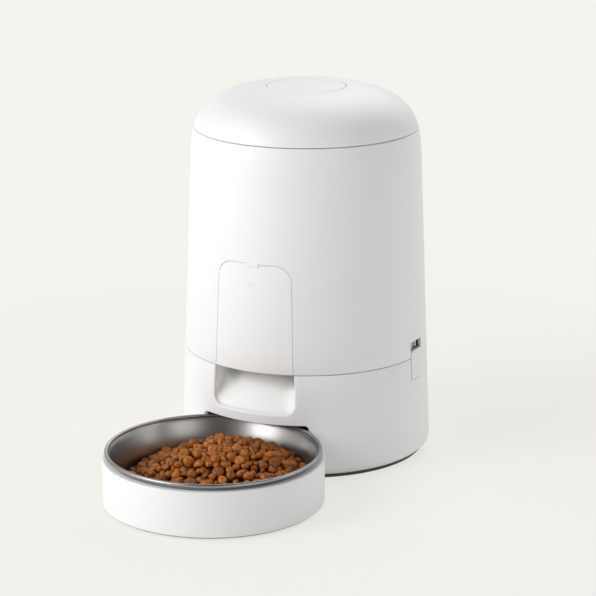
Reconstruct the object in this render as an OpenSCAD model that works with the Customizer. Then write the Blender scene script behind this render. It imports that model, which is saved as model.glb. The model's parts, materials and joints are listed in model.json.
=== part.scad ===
// Automatic pet feeder: a domed food tank on a round base, with a chute at the front that
// drops dry food into a steel bowl on a tray.
//
// Frame: millimetres, +Z up, the floor at z = 0 and the body's axis at x = y = 0.
// The bowl stands at the front, towards -Y.

/* [Body] */
// Diameter of the body just above its rounded foot
body_d = 180; // [150:1:216]
// Height of the body from the floor to the crown of the lid
body_h = 265; // [250:1:318]
// Draft of the side walls, in degrees
draft = 2.23; // [1.5:0.01:3]
// Height of the seam between the base and the tank
base_h = 76.5; // [72:0.5:92]
// Height of the lid, from its seam to its crown
lid_h = 29.1; // [25:0.1:34]
// Height of the curve that turns the side wall into the crown
dome_h = 48; // [40:1:56]
// Radius of the rounded edge above the foot
foot_edge_r = 5.5; // [3:0.5:8]
// Wall of the outer shells
wall = 2.2; // [1.8:0.1:2.8]
// Width of the line left at each seam of the shells
seam_gap = 0.6; // [0.3:0.1:1]

/* [Outlet] */
// Width of the outlet and its panel at the seam
outlet_w = 61; // [50:0.5:70]
// Depth of the outlet below the seam
outlet_drop = 28.5; // [22:0.5:32]
// Height of the front panel above the seam
panel_h = 77.5; // [70:0.5:84]
// Slant of the sides of the outlet and its panel, in degrees
window_slant = 1.85; // [0:0.05:4]
// Corner radius at the top of the panel
panel_corner_r = 12; // [6:0.5:16]
// Corner radius at the bottom of the outlet
outlet_corner_r = 7; // [4:0.5:10]
// Slope of the chute, in degrees
ramp_angle = 43; // [38:1:46]
// Gap round the front panel
panel_gap = 0.5; // [0.3:0.1:0.8]

/* [Bowl and tray] */
// Diameter of the tray
tray_d = 152.2; // [127:0.2:160]
// Height of the tray's rim
tray_h = 33.4; // [28:0.2:36]
// How far the tray reaches in under the outlet
tray_tuck = 22.6; // [16:0.2:24]
// Wall of the tray
tray_wall = 2.4; // [1.8:0.1:3]
// How far the bowl's rim lies inside the edge of the tray
bowl_set = 1.5; // [0.8:0.1:2]
// Diameter of the wire-like rolled rim
bowl_bead_d = 4.6; // [3.6:0.1:5.6]
// Radius of the round heel between the bowl's bottom and wall
bowl_heel_r = 13.7; // [8:0.1:18]
// Thickness of the bowl's steel
bowl_t = 0.9; // [0.6:0.1:1.2]
// Room over the bowl's rim in the recess that the tray slides into
bowl_headroom = 2.1; // [1:0.1:4]
// Clearance between the tray and that recess
alcove_gap = 1.2; // [0.8:0.1:2]

/* [Tank and portion wheel] */
// Height of the tank's floor above the seam
tank_floor_h = 73.5; // [70:0.5:84]
// Wall of the food tank
tank_wall = 1.8; // [1.5:0.1:2.4]
// Room between the portion wheel and the outside of the body
wheel_room = 22.3; // [21.9:0.1:28]
// Height of the portion wheel's vanes
vane_h = 15; // [12:0.5:20]
// Number of vanes, each pair holding one portion
vanes = 8; // [6:1:10]
// Radius of the wheel's domed hub
hub_r = 33; // [30:0.5:36]
// Half angle of the drop hole in the tank's floor, in degrees
drop_half_angle = 21; // [16:1:24]
// Clearance between the wheel and the tank
wheel_gap = 0.6; // [0.4:0.1:1]

/* [Drive] */
// Module of the gear on the output shaft
output_module = 1; // [0.8:0.1:1.1]
// Teeth of the gear on the output shaft
output_teeth = 48; // [40:1:50]
// Teeth of the transfer gear's small step
small_teeth = 14; // [12:1:16]
// Module of the transfer gear's large step and the pinion
input_module = 0.8; // [0.7:0.1:0.9]
// Teeth of the transfer gear's large step
large_teeth = 36; // [30:1:38]
// Teeth of the motor pinion
pinion_teeth = 12; // [12:1:14]
// Width across the flats of the drive coupler
coupler_af = 12; // [10:0.5:14]
// Diameter of the motor
motor_d = 27; // [24:0.5:28]
// Length of the motor
motor_l = 38; // [30:1:42]
// Radial clearance of a shaft in its bearing
bearing_gap = 0.05; // [0.02:0.01:0.08]

/* [Latches] */
// Width of each side latch
latch_w = 16.5; // [14:0.5:20]
// Height of each side latch
latch_h = 20.8; // [18:0.1:24]
// How far each latch reaches above the seam
latch_over = 4.6; // [3:0.1:6]
// Height of the finger recess above each latch
recess_h = 7; // [6:0.5:9]
// Gap round each latch
latch_gap = 0.5; // [0.3:0.1:0.8]

/* [Lid] */
// Diameter of the round button in the lid
button_d = 56; // [44:1:60]
// Travel of that button
button_travel = 3; // [2:0.5:4]
// Gap round the button
button_gap = 0.5; // [0.3:0.1:0.8]
// Depth of the lid's inner cup in the mouth of the tank
cup_depth = 9.6; // [8:0.2:12]

/* [Power] */
// Diameter of a battery
cell_d = 33; // [26:0.5:34]
// Length of a battery
cell_l = 61; // [50:0.5:61.5]
// Number of batteries side by side
cells = 3; // [2:1:3]

/* [Hidden] */
$fa = 4;
$fs = 0.6;

// Colours
white = "#f4f4f2";
inner_white = "#e6e7e6";
charcoal = "#3a3b3d";
steel = "#c4c7ca";
brass = "#c9a75a";
rubber_grey = "#8d9092";
pcb_green = "#2e6b4a";

// Heights of the stack
widest_z = 20;
foot_h = 3.4;
foot_lift = 0.8;
base_top = base_h - seam_gap / 2;
tank_bottom = base_h + seam_gap / 2;
lid_seam_z = body_h - lid_h;
tank_top = lid_seam_z - seam_gap / 2;
lid_bottom = lid_seam_z + seam_gap / 2;
dome_z = body_h - dome_h;
deck_t = 2;
deck_top = base_top - 1.9;
tank_floor = base_h + tank_floor_h;
tank_under = tank_floor - tank_wall;
cap_t = 2.5;
cap_top = tank_under - 1.7;
panel_top = base_h + panel_h;
panel_t = 2.4;

// How square the dome's shoulder is, seen from the side and towards the crown
side_power = 2.9;
crown_power = 3.6;
dome_steps = 24;
arc_steps = 8;

// Bowl and tray
tray_r = tray_d / 2;
tray_y = -(body_d / 2 + tray_r - tray_tuck);
tray_lift = 1;
bowl_d = tray_d - 2 * bowl_set;
bowl_seat_gap = 0.4;
bowl_z = tray_h + bowl_bead_d / 2 + bowl_seat_gap;
alcove_h = bowl_z + bowl_bead_d / 2 + bowl_headroom;
alcove_r = tray_r + alcove_gap;
alcove_edge_r = 4;
hood_gap = 0.4;
hood_t = 2;

// Chute
outlet_z = base_h - outlet_drop;
chute_t = 1.8;
wheel_r = taper_r(tank_floor) - wheel_room;
duct_back = -(hub_r - 2);
duct_front = -(wheel_r + 9.2);
duct_half_w = 25;
lip_half = window_half(outlet_z) + 0.2;
ramp_r = taper_r(outlet_z) - wall;
ramp_z = outlet_z + 0.4;

// Portion wheel and tank floor
chamber_r = wheel_r + wheel_gap;
wheel_float = 0.3;
wheel_z = tank_floor + wheel_float;
journal_r = 14;
hub_edge_h = 6.7;
hub_top = wheel_z + vane_h + 10.7;
knob_r = 9;
agitator_t = 2.4;
hub_neck_r = knob_r + 12;
ledge_z = wheel_z + vane_h + 0.9;
guard_t = 2;
guard_r = hub_r - (hub_r - hub_neck_r) * (ledge_z - wheel_z - hub_edge_h) / vane_h + 1;
shoulder_top = tank_floor + 36;
liner_gap = 0.4;

// Drive
tower_r = 50;
tower_wall = 2;
cap_under = cap_top - cap_t;
plate_t = 3;
plate_top = cap_under - 20;
plate_under = plate_top - plate_t;
output_gear_z = plate_top + 12.5;
output_gear_t = 6;
large_gear_z = plate_top + 3;
large_gear_t = 4.5;
mesh_play = 0.06;
tooth_fill = 86.5;
root_land = 18;
transfer_angle = 40;
transfer_reach = output_module * (output_teeth + small_teeth) / 2 + mesh_play;
transfer_at = transfer_reach * [cos(transfer_angle), sin(transfer_angle)];
motor_angle = 160;
motor_reach = input_module * (large_teeth + pinion_teeth) / 2 + mesh_play;
motor_at = transfer_at + motor_reach * [cos(motor_angle), sin(motor_angle)];
motor_shaft_r = 1.5;
motor_screw_x = 9.5;
axle_r = 1.5;
lower_journal_r = 3;
upper_journal_r = 7.5;
bush_r = 10;
coupler_top = tank_floor + 10;
socket_gap = 0.15;
plate_posts = [110, 200, 345];
plate_post_reach = tower_r - 8;

// Latches
latch_top = base_h + latch_over;
latch_bottom = latch_top - latch_h;
barrel_r = 2.2;
latch_pin_r = 1;
hinge_z = latch_bottom + barrel_r;
recess_top = latch_top + recess_h;

// Battery bay
cell_gap = 0.5;
bay_half_w = cells * (cell_d + cell_gap) / 2 + 0.6;
bay_y = 0;
bay_half_l = cell_l / 2 + 3;
bay_t = 1.6;
cell_z = foot_h + 1 + cell_d / 2;
bay_top = cell_z + cell_d / 2 + 2.4;

// Rear controls
rear_z = 33;
rear_half_w = 21;
rear_half_h = 13;
rear_set = 0.8;
control_x = 10;
feed_button_r = 5;
board_y = body_d / 2 - 18;
board_t = 1.6;

// Places of the screws and pads, as turns about the body's axis
screw_turns = [42, 138, 222, 318];
pad_turns = [58, 122, 233, 307];
boss_turns = [45, 135, 225, 315];

// ---------------------------------------------------------------- helpers

function reversed(list) = [for (i = [len(list) - 1:-1:0]) list[i]];

function arc(x, y, r, from, to) = [
    for (i = [0:arc_steps])
        let (turn = from + (to - from) * i / arc_steps)
            [x + r * cos(turn), y + r * sin(turn)]
];

// Radius of the straight side wall at height z
function taper_r(z) = body_d / 2 - (z - widest_z) * tan(draft);

// Radius at height z of the outer skin, or of a surface set in from it
function skin_r(z, inset = 0) =
    let (rise = min(1, max(0, (z - dome_z) / (dome_h - inset))))
        (taper_r(z) - inset) * pow(1 - pow(rise, side_power), 1 / crown_power);

function dome_turn(z, inset) = asin(min(1, max(0, (z - dome_z) / (dome_h - inset))));

// Outline of that surface from height low to height high
function skin_path(low, high, inset = 0) =
    let (
        from = dome_turn(low, inset),
        to = dome_turn(high, inset),
        steps = max(2, round(dome_steps * (to - from) / 90))
    )
        concat(
            low < dome_z ? [[skin_r(low, inset), low]] : [],
            high <= dome_z ? [[skin_r(high, inset), high]] : [
                for (i = [0:steps])
                    let (z = dome_z + (dome_h - inset) * sin(from + (to - from) * i / steps))
                        [skin_r(z, inset), z]
            ]
        );

// Shell between two surfaces set in from the skin
module skin_band(low, high, outer, inner) {
    rotate_extrude()
        polygon(concat(skin_path(low, high, outer), reversed(skin_path(low, high, inner))));
}

// Solid inside a surface set in from the skin
module skin_core(low, high, inset) {
    rotate_extrude()
        polygon(concat([[0, low]], skin_path(low, high, inset), [[0, high]]));
}

module tube(low, high, inner, outer) {
    translate([0, 0, low])
        difference() {
            cylinder(r = outer, h = high - low);
            translate([0, 0, -1]) cylinder(r = inner, h = high - low + 2);
        }
}

// Box given by its two corners
module span(low, high) {
    translate(low) cube(high - low);
}

module spin_to(turn, reach = 0) {
    rotate([0, 0, turn]) translate([reach, 0, 0]) children();
}

module both_sides() {
    children();
    mirror([1, 0, 0]) children();
}

// Wedge of a ring, centred on the front
module front_sector(low, high, inner, outer, half_angle) {
    rotate([0, 0, -90 - half_angle])
        rotate_extrude(angle = 2 * half_angle)
            translate([inner, low]) square([outer - inner, high - low]);
}

function window_half(z) = outlet_w / 2 + (base_h - z) * tan(window_slant);

// Outline of the outlet and the panel above it, grown by an edge gap
function window_points(grow) =
    let (
        top = panel_top + grow,
        bottom = outlet_z - grow,
        top_r = panel_corner_r + grow,
        bottom_r = outlet_corner_r + grow,
        top_x = window_half(top - top_r) + grow - top_r,
        bottom_x = window_half(bottom + bottom_r) + grow - bottom_r
    )
        concat(
            arc(top_x, top - top_r, top_r, 0, 90),
            arc(-top_x, top - top_r, top_r, 90, 180),
            arc(-bottom_x, bottom + bottom_r, bottom_r, 180, 270),
            arc(bottom_x, bottom + bottom_r, bottom_r, 270, 360)
        );

// The same outline as a cutter that runs out through the front
module front_window(grow) {
    translate([0, -body_d / 3, 0])
        rotate([90, 0, 0])
            linear_extrude(height = body_d / 2) polygon(window_points(grow));
}

// Plan of the chute and duct, wide at the lip and narrow at the back
module duct_plan(grow, front) {
    slope = (lip_half - duct_half_w) / (duct_back + ramp_r);
    back = duct_back + grow;
    polygon([
        [-duct_half_w - grow, back],
        [-duct_half_w - grow - slope * (back - front), front],
        [duct_half_w + grow + slope * (back - front), front],
        [duct_half_w + grow, back]
    ]);
}

module duct(low, high, grow, front) {
    translate([0, 0, low]) linear_extrude(height = high - low) duct_plan(grow, front);
}

// Height of the conical ramp at radius r
function ramp_height(r) = ramp_z + (ramp_r - r) * tan(ramp_angle);

// Everything above the ramp, with rounded corners along its foot
module above_ramp() {
    corner = outlet_corner_r;
    deep = body_h / 2;
    side_drop = ramp_height(sqrt(pow(ramp_r, 2) - pow(lip_half, 2))) - ramp_z;
    intersection() {
        rotate_extrude()
            polygon([
                [0, ramp_height(0)], [body_d, ramp_height(body_d)], [body_d, body_h], [0, body_h]
            ]);
        translate([0, -ramp_r, ramp_z - side_drop])
            rotate([ramp_angle - 90, 0, 0])
                translate([0, 0, -wall * 6])
                    linear_extrude(height = body_d)
                        mirror([0, 1])
                            polygon(concat(
                                arc(-lip_half + corner, corner, corner, 180, 270),
                                arc(lip_half - corner, corner, corner, 270, 360),
                                [[lip_half, deep], [-lip_half, deep]]
                            ));
    }
}

// Everything under the ramp, but for an apron behind the shell
module under_ramp() {
    drop = chute_t / cos(ramp_angle);
    apron_r = ramp_r - 0.3 - chute_t;
    rotate_extrude()
        polygon([
            [0, ramp_height(0) - drop], [apron_r, ramp_height(apron_r) - drop],
            [apron_r, -1], [0, -1]
        ]);
}

// Recess that the tray slides into, with a rounded upper edge
module alcove(grow) {
    r = alcove_r + grow;
    top = alcove_h + grow;
    edge = alcove_edge_r + grow;
    translate([0, tray_y, 0])
        rotate_extrude()
            polygon(concat([[0, -1], [r, -1]], arc(r - edge, top - edge, edge, 0, 90), [[0, top]]));
}

// ---------------------------------------------------------------- gears

function involute_lag(turn) = tan(turn) - turn * PI / 180;

// Half the angle that a tooth fills at radius r, in degrees
function tooth_half(teeth, module_mm, r) =
    let (base_r = module_mm * teeth / 2 * cos(20), reach = max(r, base_r))
        tooth_fill / teeth
            + (involute_lag(20) - involute_lag(acos(base_r / reach))) * 180 / PI;

// Outline of a spur gear with a tooth on the X axis
function gear_points(teeth, module_mm) =
    let (
        pitch_r = module_mm * teeth / 2,
        root_r = pitch_r - 1.25 * module_mm,
        flank = [for (i = [0:3]) root_r + 0.4 * module_mm + i * 0.6 * module_mm]
    )
        [
            for (tooth = [0:teeth - 1])
                let (middle = 360 * tooth / teeth)
                    for (p = concat(
                        [[root_r, -180 / teeth]],
                        [[root_r, -tooth_half(teeth, module_mm, flank[0]) - root_land / teeth]],
                        [for (r = flank) [r, -tooth_half(teeth, module_mm, r)]],
                        [for (r = reversed(flank)) [r, tooth_half(teeth, module_mm, r)]],
                        [[root_r, tooth_half(teeth, module_mm, flank[0]) + root_land / teeth]]
                    ))
                        p[0] * [cos(middle + p[1]), sin(middle + p[1])]
        ];

module gear(teeth, module_mm, low, t) {
    translate([0, 0, low]) linear_extrude(height = t) polygon(gear_points(teeth, module_mm));
}

// Turn that meshes gear b with gear a, which lies the other way along the line of centres
function mesh_turn(line, teeth_a, turn_a, teeth_b) =
    line + 180 - 360 / teeth_b * (0.5 - (line - turn_a) * teeth_a / 360);

transfer_small_turn = mesh_turn(transfer_angle, output_teeth, 0, small_teeth);
pinion_turn = mesh_turn(motor_angle, large_teeth, transfer_small_turn, pinion_teeth);

// ---------------------------------------------------------------- base

module foot_skin() {
    r = foot_edge_r;
    middle_z = foot_h + r;
    middle_r = taper_r(middle_z) - r;
    lip_r = middle_r - 4;
    rotate_extrude()
        polygon(concat(
            arc(middle_r, middle_z, r, -90, 0),
            [[skin_r(base_top), base_top], [skin_r(base_top, wall), base_top]],
            arc(middle_r, middle_z, r - wall, 0, -90),
            [[lip_r, foot_h + wall], [lip_r, foot_h]]
        ));
}

// Room inside the foot and the wall, for what the pan carries
module base_room(gap) {
    r = foot_edge_r;
    middle_z = foot_h + r;
    middle_r = taper_r(middle_z) - r;
    lip_r = middle_r - 4 - gap;
    step_z = foot_h + wall + gap;
    rotate_extrude()
        polygon(concat(
            [[0, foot_lift], [lip_r, foot_lift], [lip_r, step_z], [middle_r - gap, step_z]],
            skin_path(middle_z, base_top, wall + gap),
            [[0, base_top]]
        ));
}

// Ledge inside the base that carries the deck, cut away beside the chute
module deck_ledge() {
    high = deck_top - deck_t;
    out_r = skin_r(high, wall / 2);
    in_r = skin_r(high, wall) - 3.4;
    difference() {
        rotate_extrude()
            polygon([[in_r, high], [out_r, high], [out_r, high - 7], [in_r, high - 1.6]]);
        duct(high - 8, high + 1, chute_t + 0.5, -body_d);
    }
}

// Boss for a screw from below, tied to the wall by a web
module foot_boss() {
    reach = body_d / 2 - 13;
    translate([reach, 0, foot_h]) cylinder(r = 4.2, h = 13);
    span([reach, -1.2, foot_h], [body_d / 2 - foot_edge_r, 1.2, foot_h + 13]);
    span([reach, -1.2, foot_h + foot_edge_r + 1], [body_d / 2, 1.2, foot_h + 13]);
}

// Ears that hold the hinge pin of one latch, inside the wall
module latch_ears() {
    x = skin_r(hinge_z) - barrel_r;
    inner_y = latch_w / 2 + latch_gap + 0.1;
    for (side = [-1, 1])
        translate([0, side * (inner_y + 1.6), 0])
            span([x - 2.8, -1.6, hinge_z - 3], [body_d / 2 + 2, 1.6, hinge_z + 4]);
}

module latch_pin_shape(r, half_l) {
    translate([skin_r(hinge_z) - barrel_r, 0, hinge_z])
        rotate([90, 0, 0]) cylinder(r = r, h = 2 * half_l, center = true);
}

module latch_opening(high) {
    span(
        [body_d / 4, -latch_w / 2 - latch_gap, latch_bottom - latch_gap],
        [body_d, latch_w / 2 + latch_gap, high]
    );
}

module rear_window(grow) {
    half_w = rear_half_w + grow;
    half_h = rear_half_h + grow;
    corner = 4 + grow;
    translate([0, body_d / 4, rear_z])
        rotate([-90, 0, 0])
            linear_extrude(height = body_d)
                polygon(concat(
                    arc(half_w - corner, half_h - corner, corner, 0, 90),
                    arc(-half_w + corner, half_h - corner, corner, 90, 180),
                    arc(-half_w + corner, -half_h + corner, corner, 180, 270),
                    arc(half_w - corner, -half_h + corner, corner, 270, 360)
                ));
}

// White outer shell of the base
module base_shell() {
    color(white)
        difference() {
            union() {
                foot_skin();
                deck_ledge();
                intersection() {
                    union() {
                        for (turn = screw_turns) spin_to(turn) foot_boss();
                        both_sides() latch_ears();
                    }
                    skin_core(foot_h, base_top, wall / 2);
                }
            }
            for (turn = screw_turns)
                spin_to(turn, body_d / 2 - 13) translate([0, 0, foot_h - 1]) cylinder(r = 1.5, h = 12);
            both_sides() {
                latch_opening(body_h);
                latch_pin_shape(latch_pin_r + 0.02, latch_w / 2 + 3.4);
            }
            front_window(0);
            alcove(0);
            rear_window(0);
        }
}

module pan_plate() {
    r = taper_r(foot_h + foot_edge_r) - foot_edge_r + 1;
    chamfer = 0.6;
    rotate_extrude()
        polygon([
            [0, foot_lift], [r - chamfer, foot_lift], [r, foot_lift + chamfer], [r, foot_h], [0, foot_h]
        ]);
}

// Wall and roof of the recess that the tray slides into
module alcove_hood() {
    intersection() {
        alcove(hood_gap + hood_t);
        base_room(0.3);
    }
}

module battery_hatch(grow, low, high) {
    span(
        [-bay_half_w - grow, bay_y - bay_half_l - grow, low],
        [bay_half_w + grow, bay_y + bay_half_l + grow, high]
    );
}

// Slotted pillars that hold the edges of the main board
module board_pillars() {
    both_sides()
        intersection() {
            difference() {
                span([28, board_y - 2.6, foot_h - 1], [33, board_y + board_t + 2.6, 42]);
                span([20, board_y - 0.2, foot_h + 6], [30.4, board_y + board_t + 0.2, 60]);
            }
            base_room(0.3);
        }
}

hatch_hinge = [0, bay_y - bay_half_l - 0.4 + 1.4, foot_lift + 1];

module hatch_pin(r, reach) {
    both_sides()
        translate([bay_half_w - 1.5, hatch_hinge[1], hatch_hinge[2]])
            rotate([0, 90, 0]) cylinder(r = r, h = reach + 1.5);
}

module base_pan() {
    notch_r = 9;
    color(charcoal)
        difference() {
            union() {
                pan_plate();
                alcove_hood();
                board_pillars();
            }
            alcove(hood_gap);
            battery_hatch(0, -1, foot_h + 1);
            hatch_pin(0.76, 2.6);
            // Slot for the tongue at the back of the tray
            span([-16, tray_y + tray_r - 6, 9.5], [16, tray_y + tray_r + 12, 14.5]);
            for (turn = screw_turns)
                spin_to(turn, body_d / 2 - 13) {
                    cylinder(r = 1.6, h = 8);
                    cylinder(r = 3.1, h = foot_lift + 1.6);
                }
            for (turn = pad_turns) spin_to(turn, body_d / 2 - 18) cylinder(r = 7.1, h = 2 * foot_lift);
            // Dip for a fingernail behind the battery door
            translate([0, bay_y + bay_half_l, foot_lift - notch_r + 1.6])
                rotate([0, 90, 0]) cylinder(r = notch_r, h = 14, center = true);
        }
}

module foot_pads() {
    color(rubber_grey)
        for (turn = pad_turns) spin_to(turn, body_d / 2 - 18) cylinder(r = 7, h = 2 * foot_lift);
}

module base_screws() {
    color(steel)
        for (turn = screw_turns)
            spin_to(turn, body_d / 2 - 13)
                difference() {
                    union() {
                        translate([0, 0, foot_lift + 0.2]) cylinder(r = 2.8, h = 1.4);
                        translate([0, 0, foot_lift + 1]) cylinder(r = 1.45, h = 12);
                    }
                    cylinder(r = 1.3, h = foot_lift + 1, $fn = 6);
                }
}

module base_deck() {
    edge_r = skin_r(deck_top, wall) - 0.3;
    notch_x = skin_r(base_top) - 10;
    color(inner_white)
        difference() {
            union() {
                translate([0, 0, deck_top - deck_t]) cylinder(r = edge_r, h = deck_t);
                // Low rim that stiffens the wiring hole
                tube(deck_top - deck_t - 3, deck_top, 30, 32);
            }
            translate([0, 0, deck_top - deck_t - 4]) cylinder(r = 30, h = 10);
            duct(deck_top - 10, deck_top + 1, chute_t + 0.4, -body_d);
            both_sides()
                span(
                    [notch_x, -latch_w / 2 - 5, deck_top - 9],
                    [body_d, latch_w / 2 + 5, deck_top + 1]
                );
        }
}

// ---------------------------------------------------------------- batteries

module battery_row(r, half_l) {
    for (i = [0:cells - 1])
        translate([(i - (cells - 1) / 2) * (cell_d + cell_gap), bay_y, cell_z])
            rotate([90, 0, 0]) cylinder(r = r, h = 2 * half_l, center = true);
}

// Housing with a round cradle over each battery, open below
module battery_box() {
    flange = 2.6;
    color(inner_white)
        difference() {
            union() {
                battery_hatch(bay_t, foot_h, bay_top);
                battery_hatch(flange, foot_h, foot_h + 1.6);
            }
            battery_row(cell_d / 2 + cell_gap / 2 - 0.02, bay_half_l);
            battery_hatch(0, foot_h - 1, cell_z);
        }
}

module batteries() {
    nub_l = 1.6;
    color("#3f5d86")
        for (i = [0:cells - 1])
            translate([(i - (cells - 1) / 2) * (cell_d + cell_gap), bay_y, cell_z])
                rotate([90 * (i % 2 == 0 ? 1 : -1), 0, 0]) {
                    translate([0, 0, -cell_l / 2]) cylinder(r = cell_d / 2, h = cell_l - nub_l);
                    cylinder(r = cell_d * 0.14, h = cell_l / 2);
                }
}

// Spring leaf at one end of each battery and a flat tab at the other
module battery_contacts() {
    half_l = bay_half_l - 0.1;
    spring_l = bay_half_l - cell_l / 2 - 0.2;
    color(steel)
        for (i = [0:cells - 1])
            translate([(i - (cells - 1) / 2) * (cell_d + cell_gap), bay_y, cell_z])
                rotate([0, 0, i % 2 == 0 ? 0 : 180]) {
                    span([-7, -half_l, -8], [7, -half_l + 0.5, 8]);
                    translate([0, -half_l, 0]) rotate([-90, 0, 0]) cylinder(r = 3.6, h = spring_l);
                    span([-7, half_l - 0.5, -8], [7, half_l, 8]);
                    translate([0, half_l, 0]) rotate([90, 0, 0]) cylinder(r1 = 6.5, r2 = 4, h = spring_l);
                }
}

module battery_door() {
    gap = 0.4;
    t = 2;
    free_y = bay_y + bay_half_l;
    color(charcoal)
        difference() {
            union() {
                intersection() {
                    battery_hatch(-gap, foot_lift, foot_lift + t);
                    span([-body_d, hatch_hinge[1], 0], [body_d, body_d, foot_h]);
                }
                translate(hatch_hinge)
                    rotate([0, 90, 0]) cylinder(r = t / 2, h = 2 * (bay_half_w - gap), center = true);
                hatch_pin(0.7, 2.4);
            }
            // Two grip grooves beside the free edge
            for (y = [free_y - 9, free_y - 6]) span([-16, y, 0], [16, y + 1.2, foot_lift + 0.5]);
        }
}

// ---------------------------------------------------------------- rear controls

module along_back(y, x = 0) {
    translate([x, y, rear_z]) rotate([-90, 0, 0]) children();
}

module slot_plan(w, h) {
    square([w - h, h], center = true);
    for (side = [-1, 1]) translate([side * (w - h) / 2, 0]) circle(d = h);
}

// Plate let into the back of the base, with a flange behind the shell
module rear_panel() {
    seat = wall + 0.1;
    color(inner_white)
        difference() {
            union() {
                intersection() {
                    skin_band(foot_h, base_top, rear_set, seat + 1.6);
                    rear_window(-0.3);
                }
                intersection() {
                    skin_band(foot_h, base_top, seat, seat + 1.6);
                    rear_window(2.5);
                }
            }
            along_back(body_d / 4, -control_x) cylinder(r = feed_button_r + 0.25, h = body_d);
            along_back(body_d / 4, control_x) linear_extrude(height = body_d) slot_plan(11.6, 6);
        }
}

module power_socket() {
    back = board_y + board_t + 0.05;
    front = skin_r(rear_z) - rear_set - 1.2;
    color(steel)
        along_back(back, control_x)
            difference() {
                linear_extrude(height = front - back) slot_plan(11, 5.4);
                difference() {
                    translate([0, 0, front - back - 7]) linear_extrude(height = 8) slot_plan(9, 3.3);
                    translate([-3.3, -0.35, front - back - 8]) cube([6.6, 0.7, 7.4]);
                }
            }
}

module feed_button() {
    face = skin_r(rear_z) - 0.4;
    flange_y = face - 5.9;
    flange_t = 1.5;
    stem_y = board_y + board_t + 3.4;
    dish_r = 25;
    color(white)
        difference() {
            union() {
                along_back(flange_y - 1, -control_x) cylinder(r = feed_button_r, h = face - flange_y + 1);
                along_back(flange_y - flange_t, -control_x)
                    cylinder(r = feed_button_r + 1.2, h = flange_t);
                along_back(stem_y, -control_x) cylinder(r = 2, h = flange_y - stem_y - 0.6);
            }
            // Shallow dish for a fingertip
            translate([-control_x, face + dish_r - 0.8, rear_z]) sphere(r = dish_r);
        }
}

module main_board() {
    back = board_y + board_t;
    color(pcb_green) span([-30, board_y, foot_h + 6.4], [30, back, deck_top - 12.3]);
    color(charcoal) {
        along_back(back, -control_x) {
            translate([-3, -3, 0]) cube([6, 6, 1.4]);
            cylinder(r = 1.7, h = 2.2);
        }
        span([-24, board_y - 1.6, 44], [-12, board_y, 56]);
        span([-4, board_y - 1.2, 46], [6, board_y, 54]);
        span([12, board_y - 6, 44], [24, board_y, 52]);
    }
    color(brass)
        for (i = [0:2])
            translate([-20 + i * 9, board_y, 22]) rotate([90, 0, 0]) cylinder(r = 3, h = 8);
}

// ---------------------------------------------------------------- chute and front panel

tower_front_set = panel_t + 1.5;

// Chute from the tank's drop hole to the outlet
module food_chute() {
    apron_z = alcove_h + hood_gap + hood_t + 0.4;
    mouth_top = base_top - 0.1;
    roof_z = tank_bottom + 0.1;
    color(inner_white)
        difference() {
            union() {
                difference() {
                    intersection() {
                        duct(apron_z, cap_under, chute_t, -body_d);
                        skin_core(foot_h, cap_under + 1, wall + 0.25);
                    }
                    in_front(mouth_top, duct_front - chute_t);
                }
                // Roof over the outlet, behind the foot of the front panel
                intersection() {
                    duct(roof_z, roof_z + chute_t, -0.7, -body_d);
                    skin_core(foot_h, cap_top, tower_front_set - 1);
                }
                // Flanges that rest on the deck
                intersection() {
                    duct(deck_top, deck_top + 1.6, chute_t + 5, duct_front);
                    span([-body_d, -body_d, deck_top], [body_d, -tower_r - 0.5, base_top]);
                }
            }
            difference() {
                intersection() {
                    duct(0, cap_top, 0, -body_d);
                    above_ramp();
                }
                in_front(mouth_top, duct_front);
            }
            under_ramp();
        }
}

// Everything in front of a plane, from a given height upwards
module in_front(low, y) {
    span([-body_d, -body_d, low], [body_d, y, body_h]);
}

// Cover over the duct, flush with the skin, on four posts
module front_panel() {
    post_x = outlet_w / 3;
    color(white)
        difference() {
            union() {
                intersection() {
                    skin_band(tank_bottom, panel_top + 1, 0, panel_t);
                    front_window(-panel_gap);
                }
                for (x = [-post_x, post_x], z = [base_h + 14, panel_top - 18])
                    intersection() {
                        translate([x, duct_front - chute_t - 0.1, z])
                            rotate([90, 0, 0]) cylinder(r = 3, h = body_d);
                        skin_core(foot_h, panel_top, panel_t / 2);
                    }
                // Small tab at the middle of the upper edge
                intersection() {
                    skin_band(panel_top - 2.2, panel_top - 0.2, -0.35, panel_t - 0.8);
                    span([-4.8, -body_d, 0], [4.8, 0, body_h]);
                }
            }
            span([-2.9, -body_d, indicator_z - 0.95], [2.9, 0, indicator_z + 0.95]);
        }
}

indicator_z = base_h + 63;

module indicator_lens() {
    half_w = 2.75;
    half_h = 0.8;
    color("#ffffff") {
        intersection() {
            skin_band(base_h, panel_top, 0.1, panel_t + 0.5);
            span([-half_w, -body_d, indicator_z - half_h], [half_w, 0, indicator_z + half_h]);
        }
        intersection() {
            skin_band(base_h, panel_top, panel_t + 0.1, panel_t + 1.3);
            span([-4.5, -body_d, indicator_z - 2.5], [4.5, 0, indicator_z + 2.5]);
        }
    }
}

module indicator_board() {
    front = duct_front - chute_t;
    color(pcb_green) span([-12, front - 3, indicator_z - 8], [12, front - 1.6, indicator_z + 4]);
    color(white)
        for (x = [-9, 9])
            translate([x, front - 1.6, indicator_z - 4]) rotate([-90, 0, 0]) cylinder(r = 2, h = 1.6);
    color("#fff6d8") span([-1.6, front - 4.6, indicator_z - 1], [1.6, front - 3, indicator_z + 1]);
}

// ---------------------------------------------------------------- drive tower

module transfer_frame() {
    translate([transfer_at[0], transfer_at[1], 0]) children();
}

module motor_frame() {
    translate([motor_at[0], motor_at[1], 0]) children();
}

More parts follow.
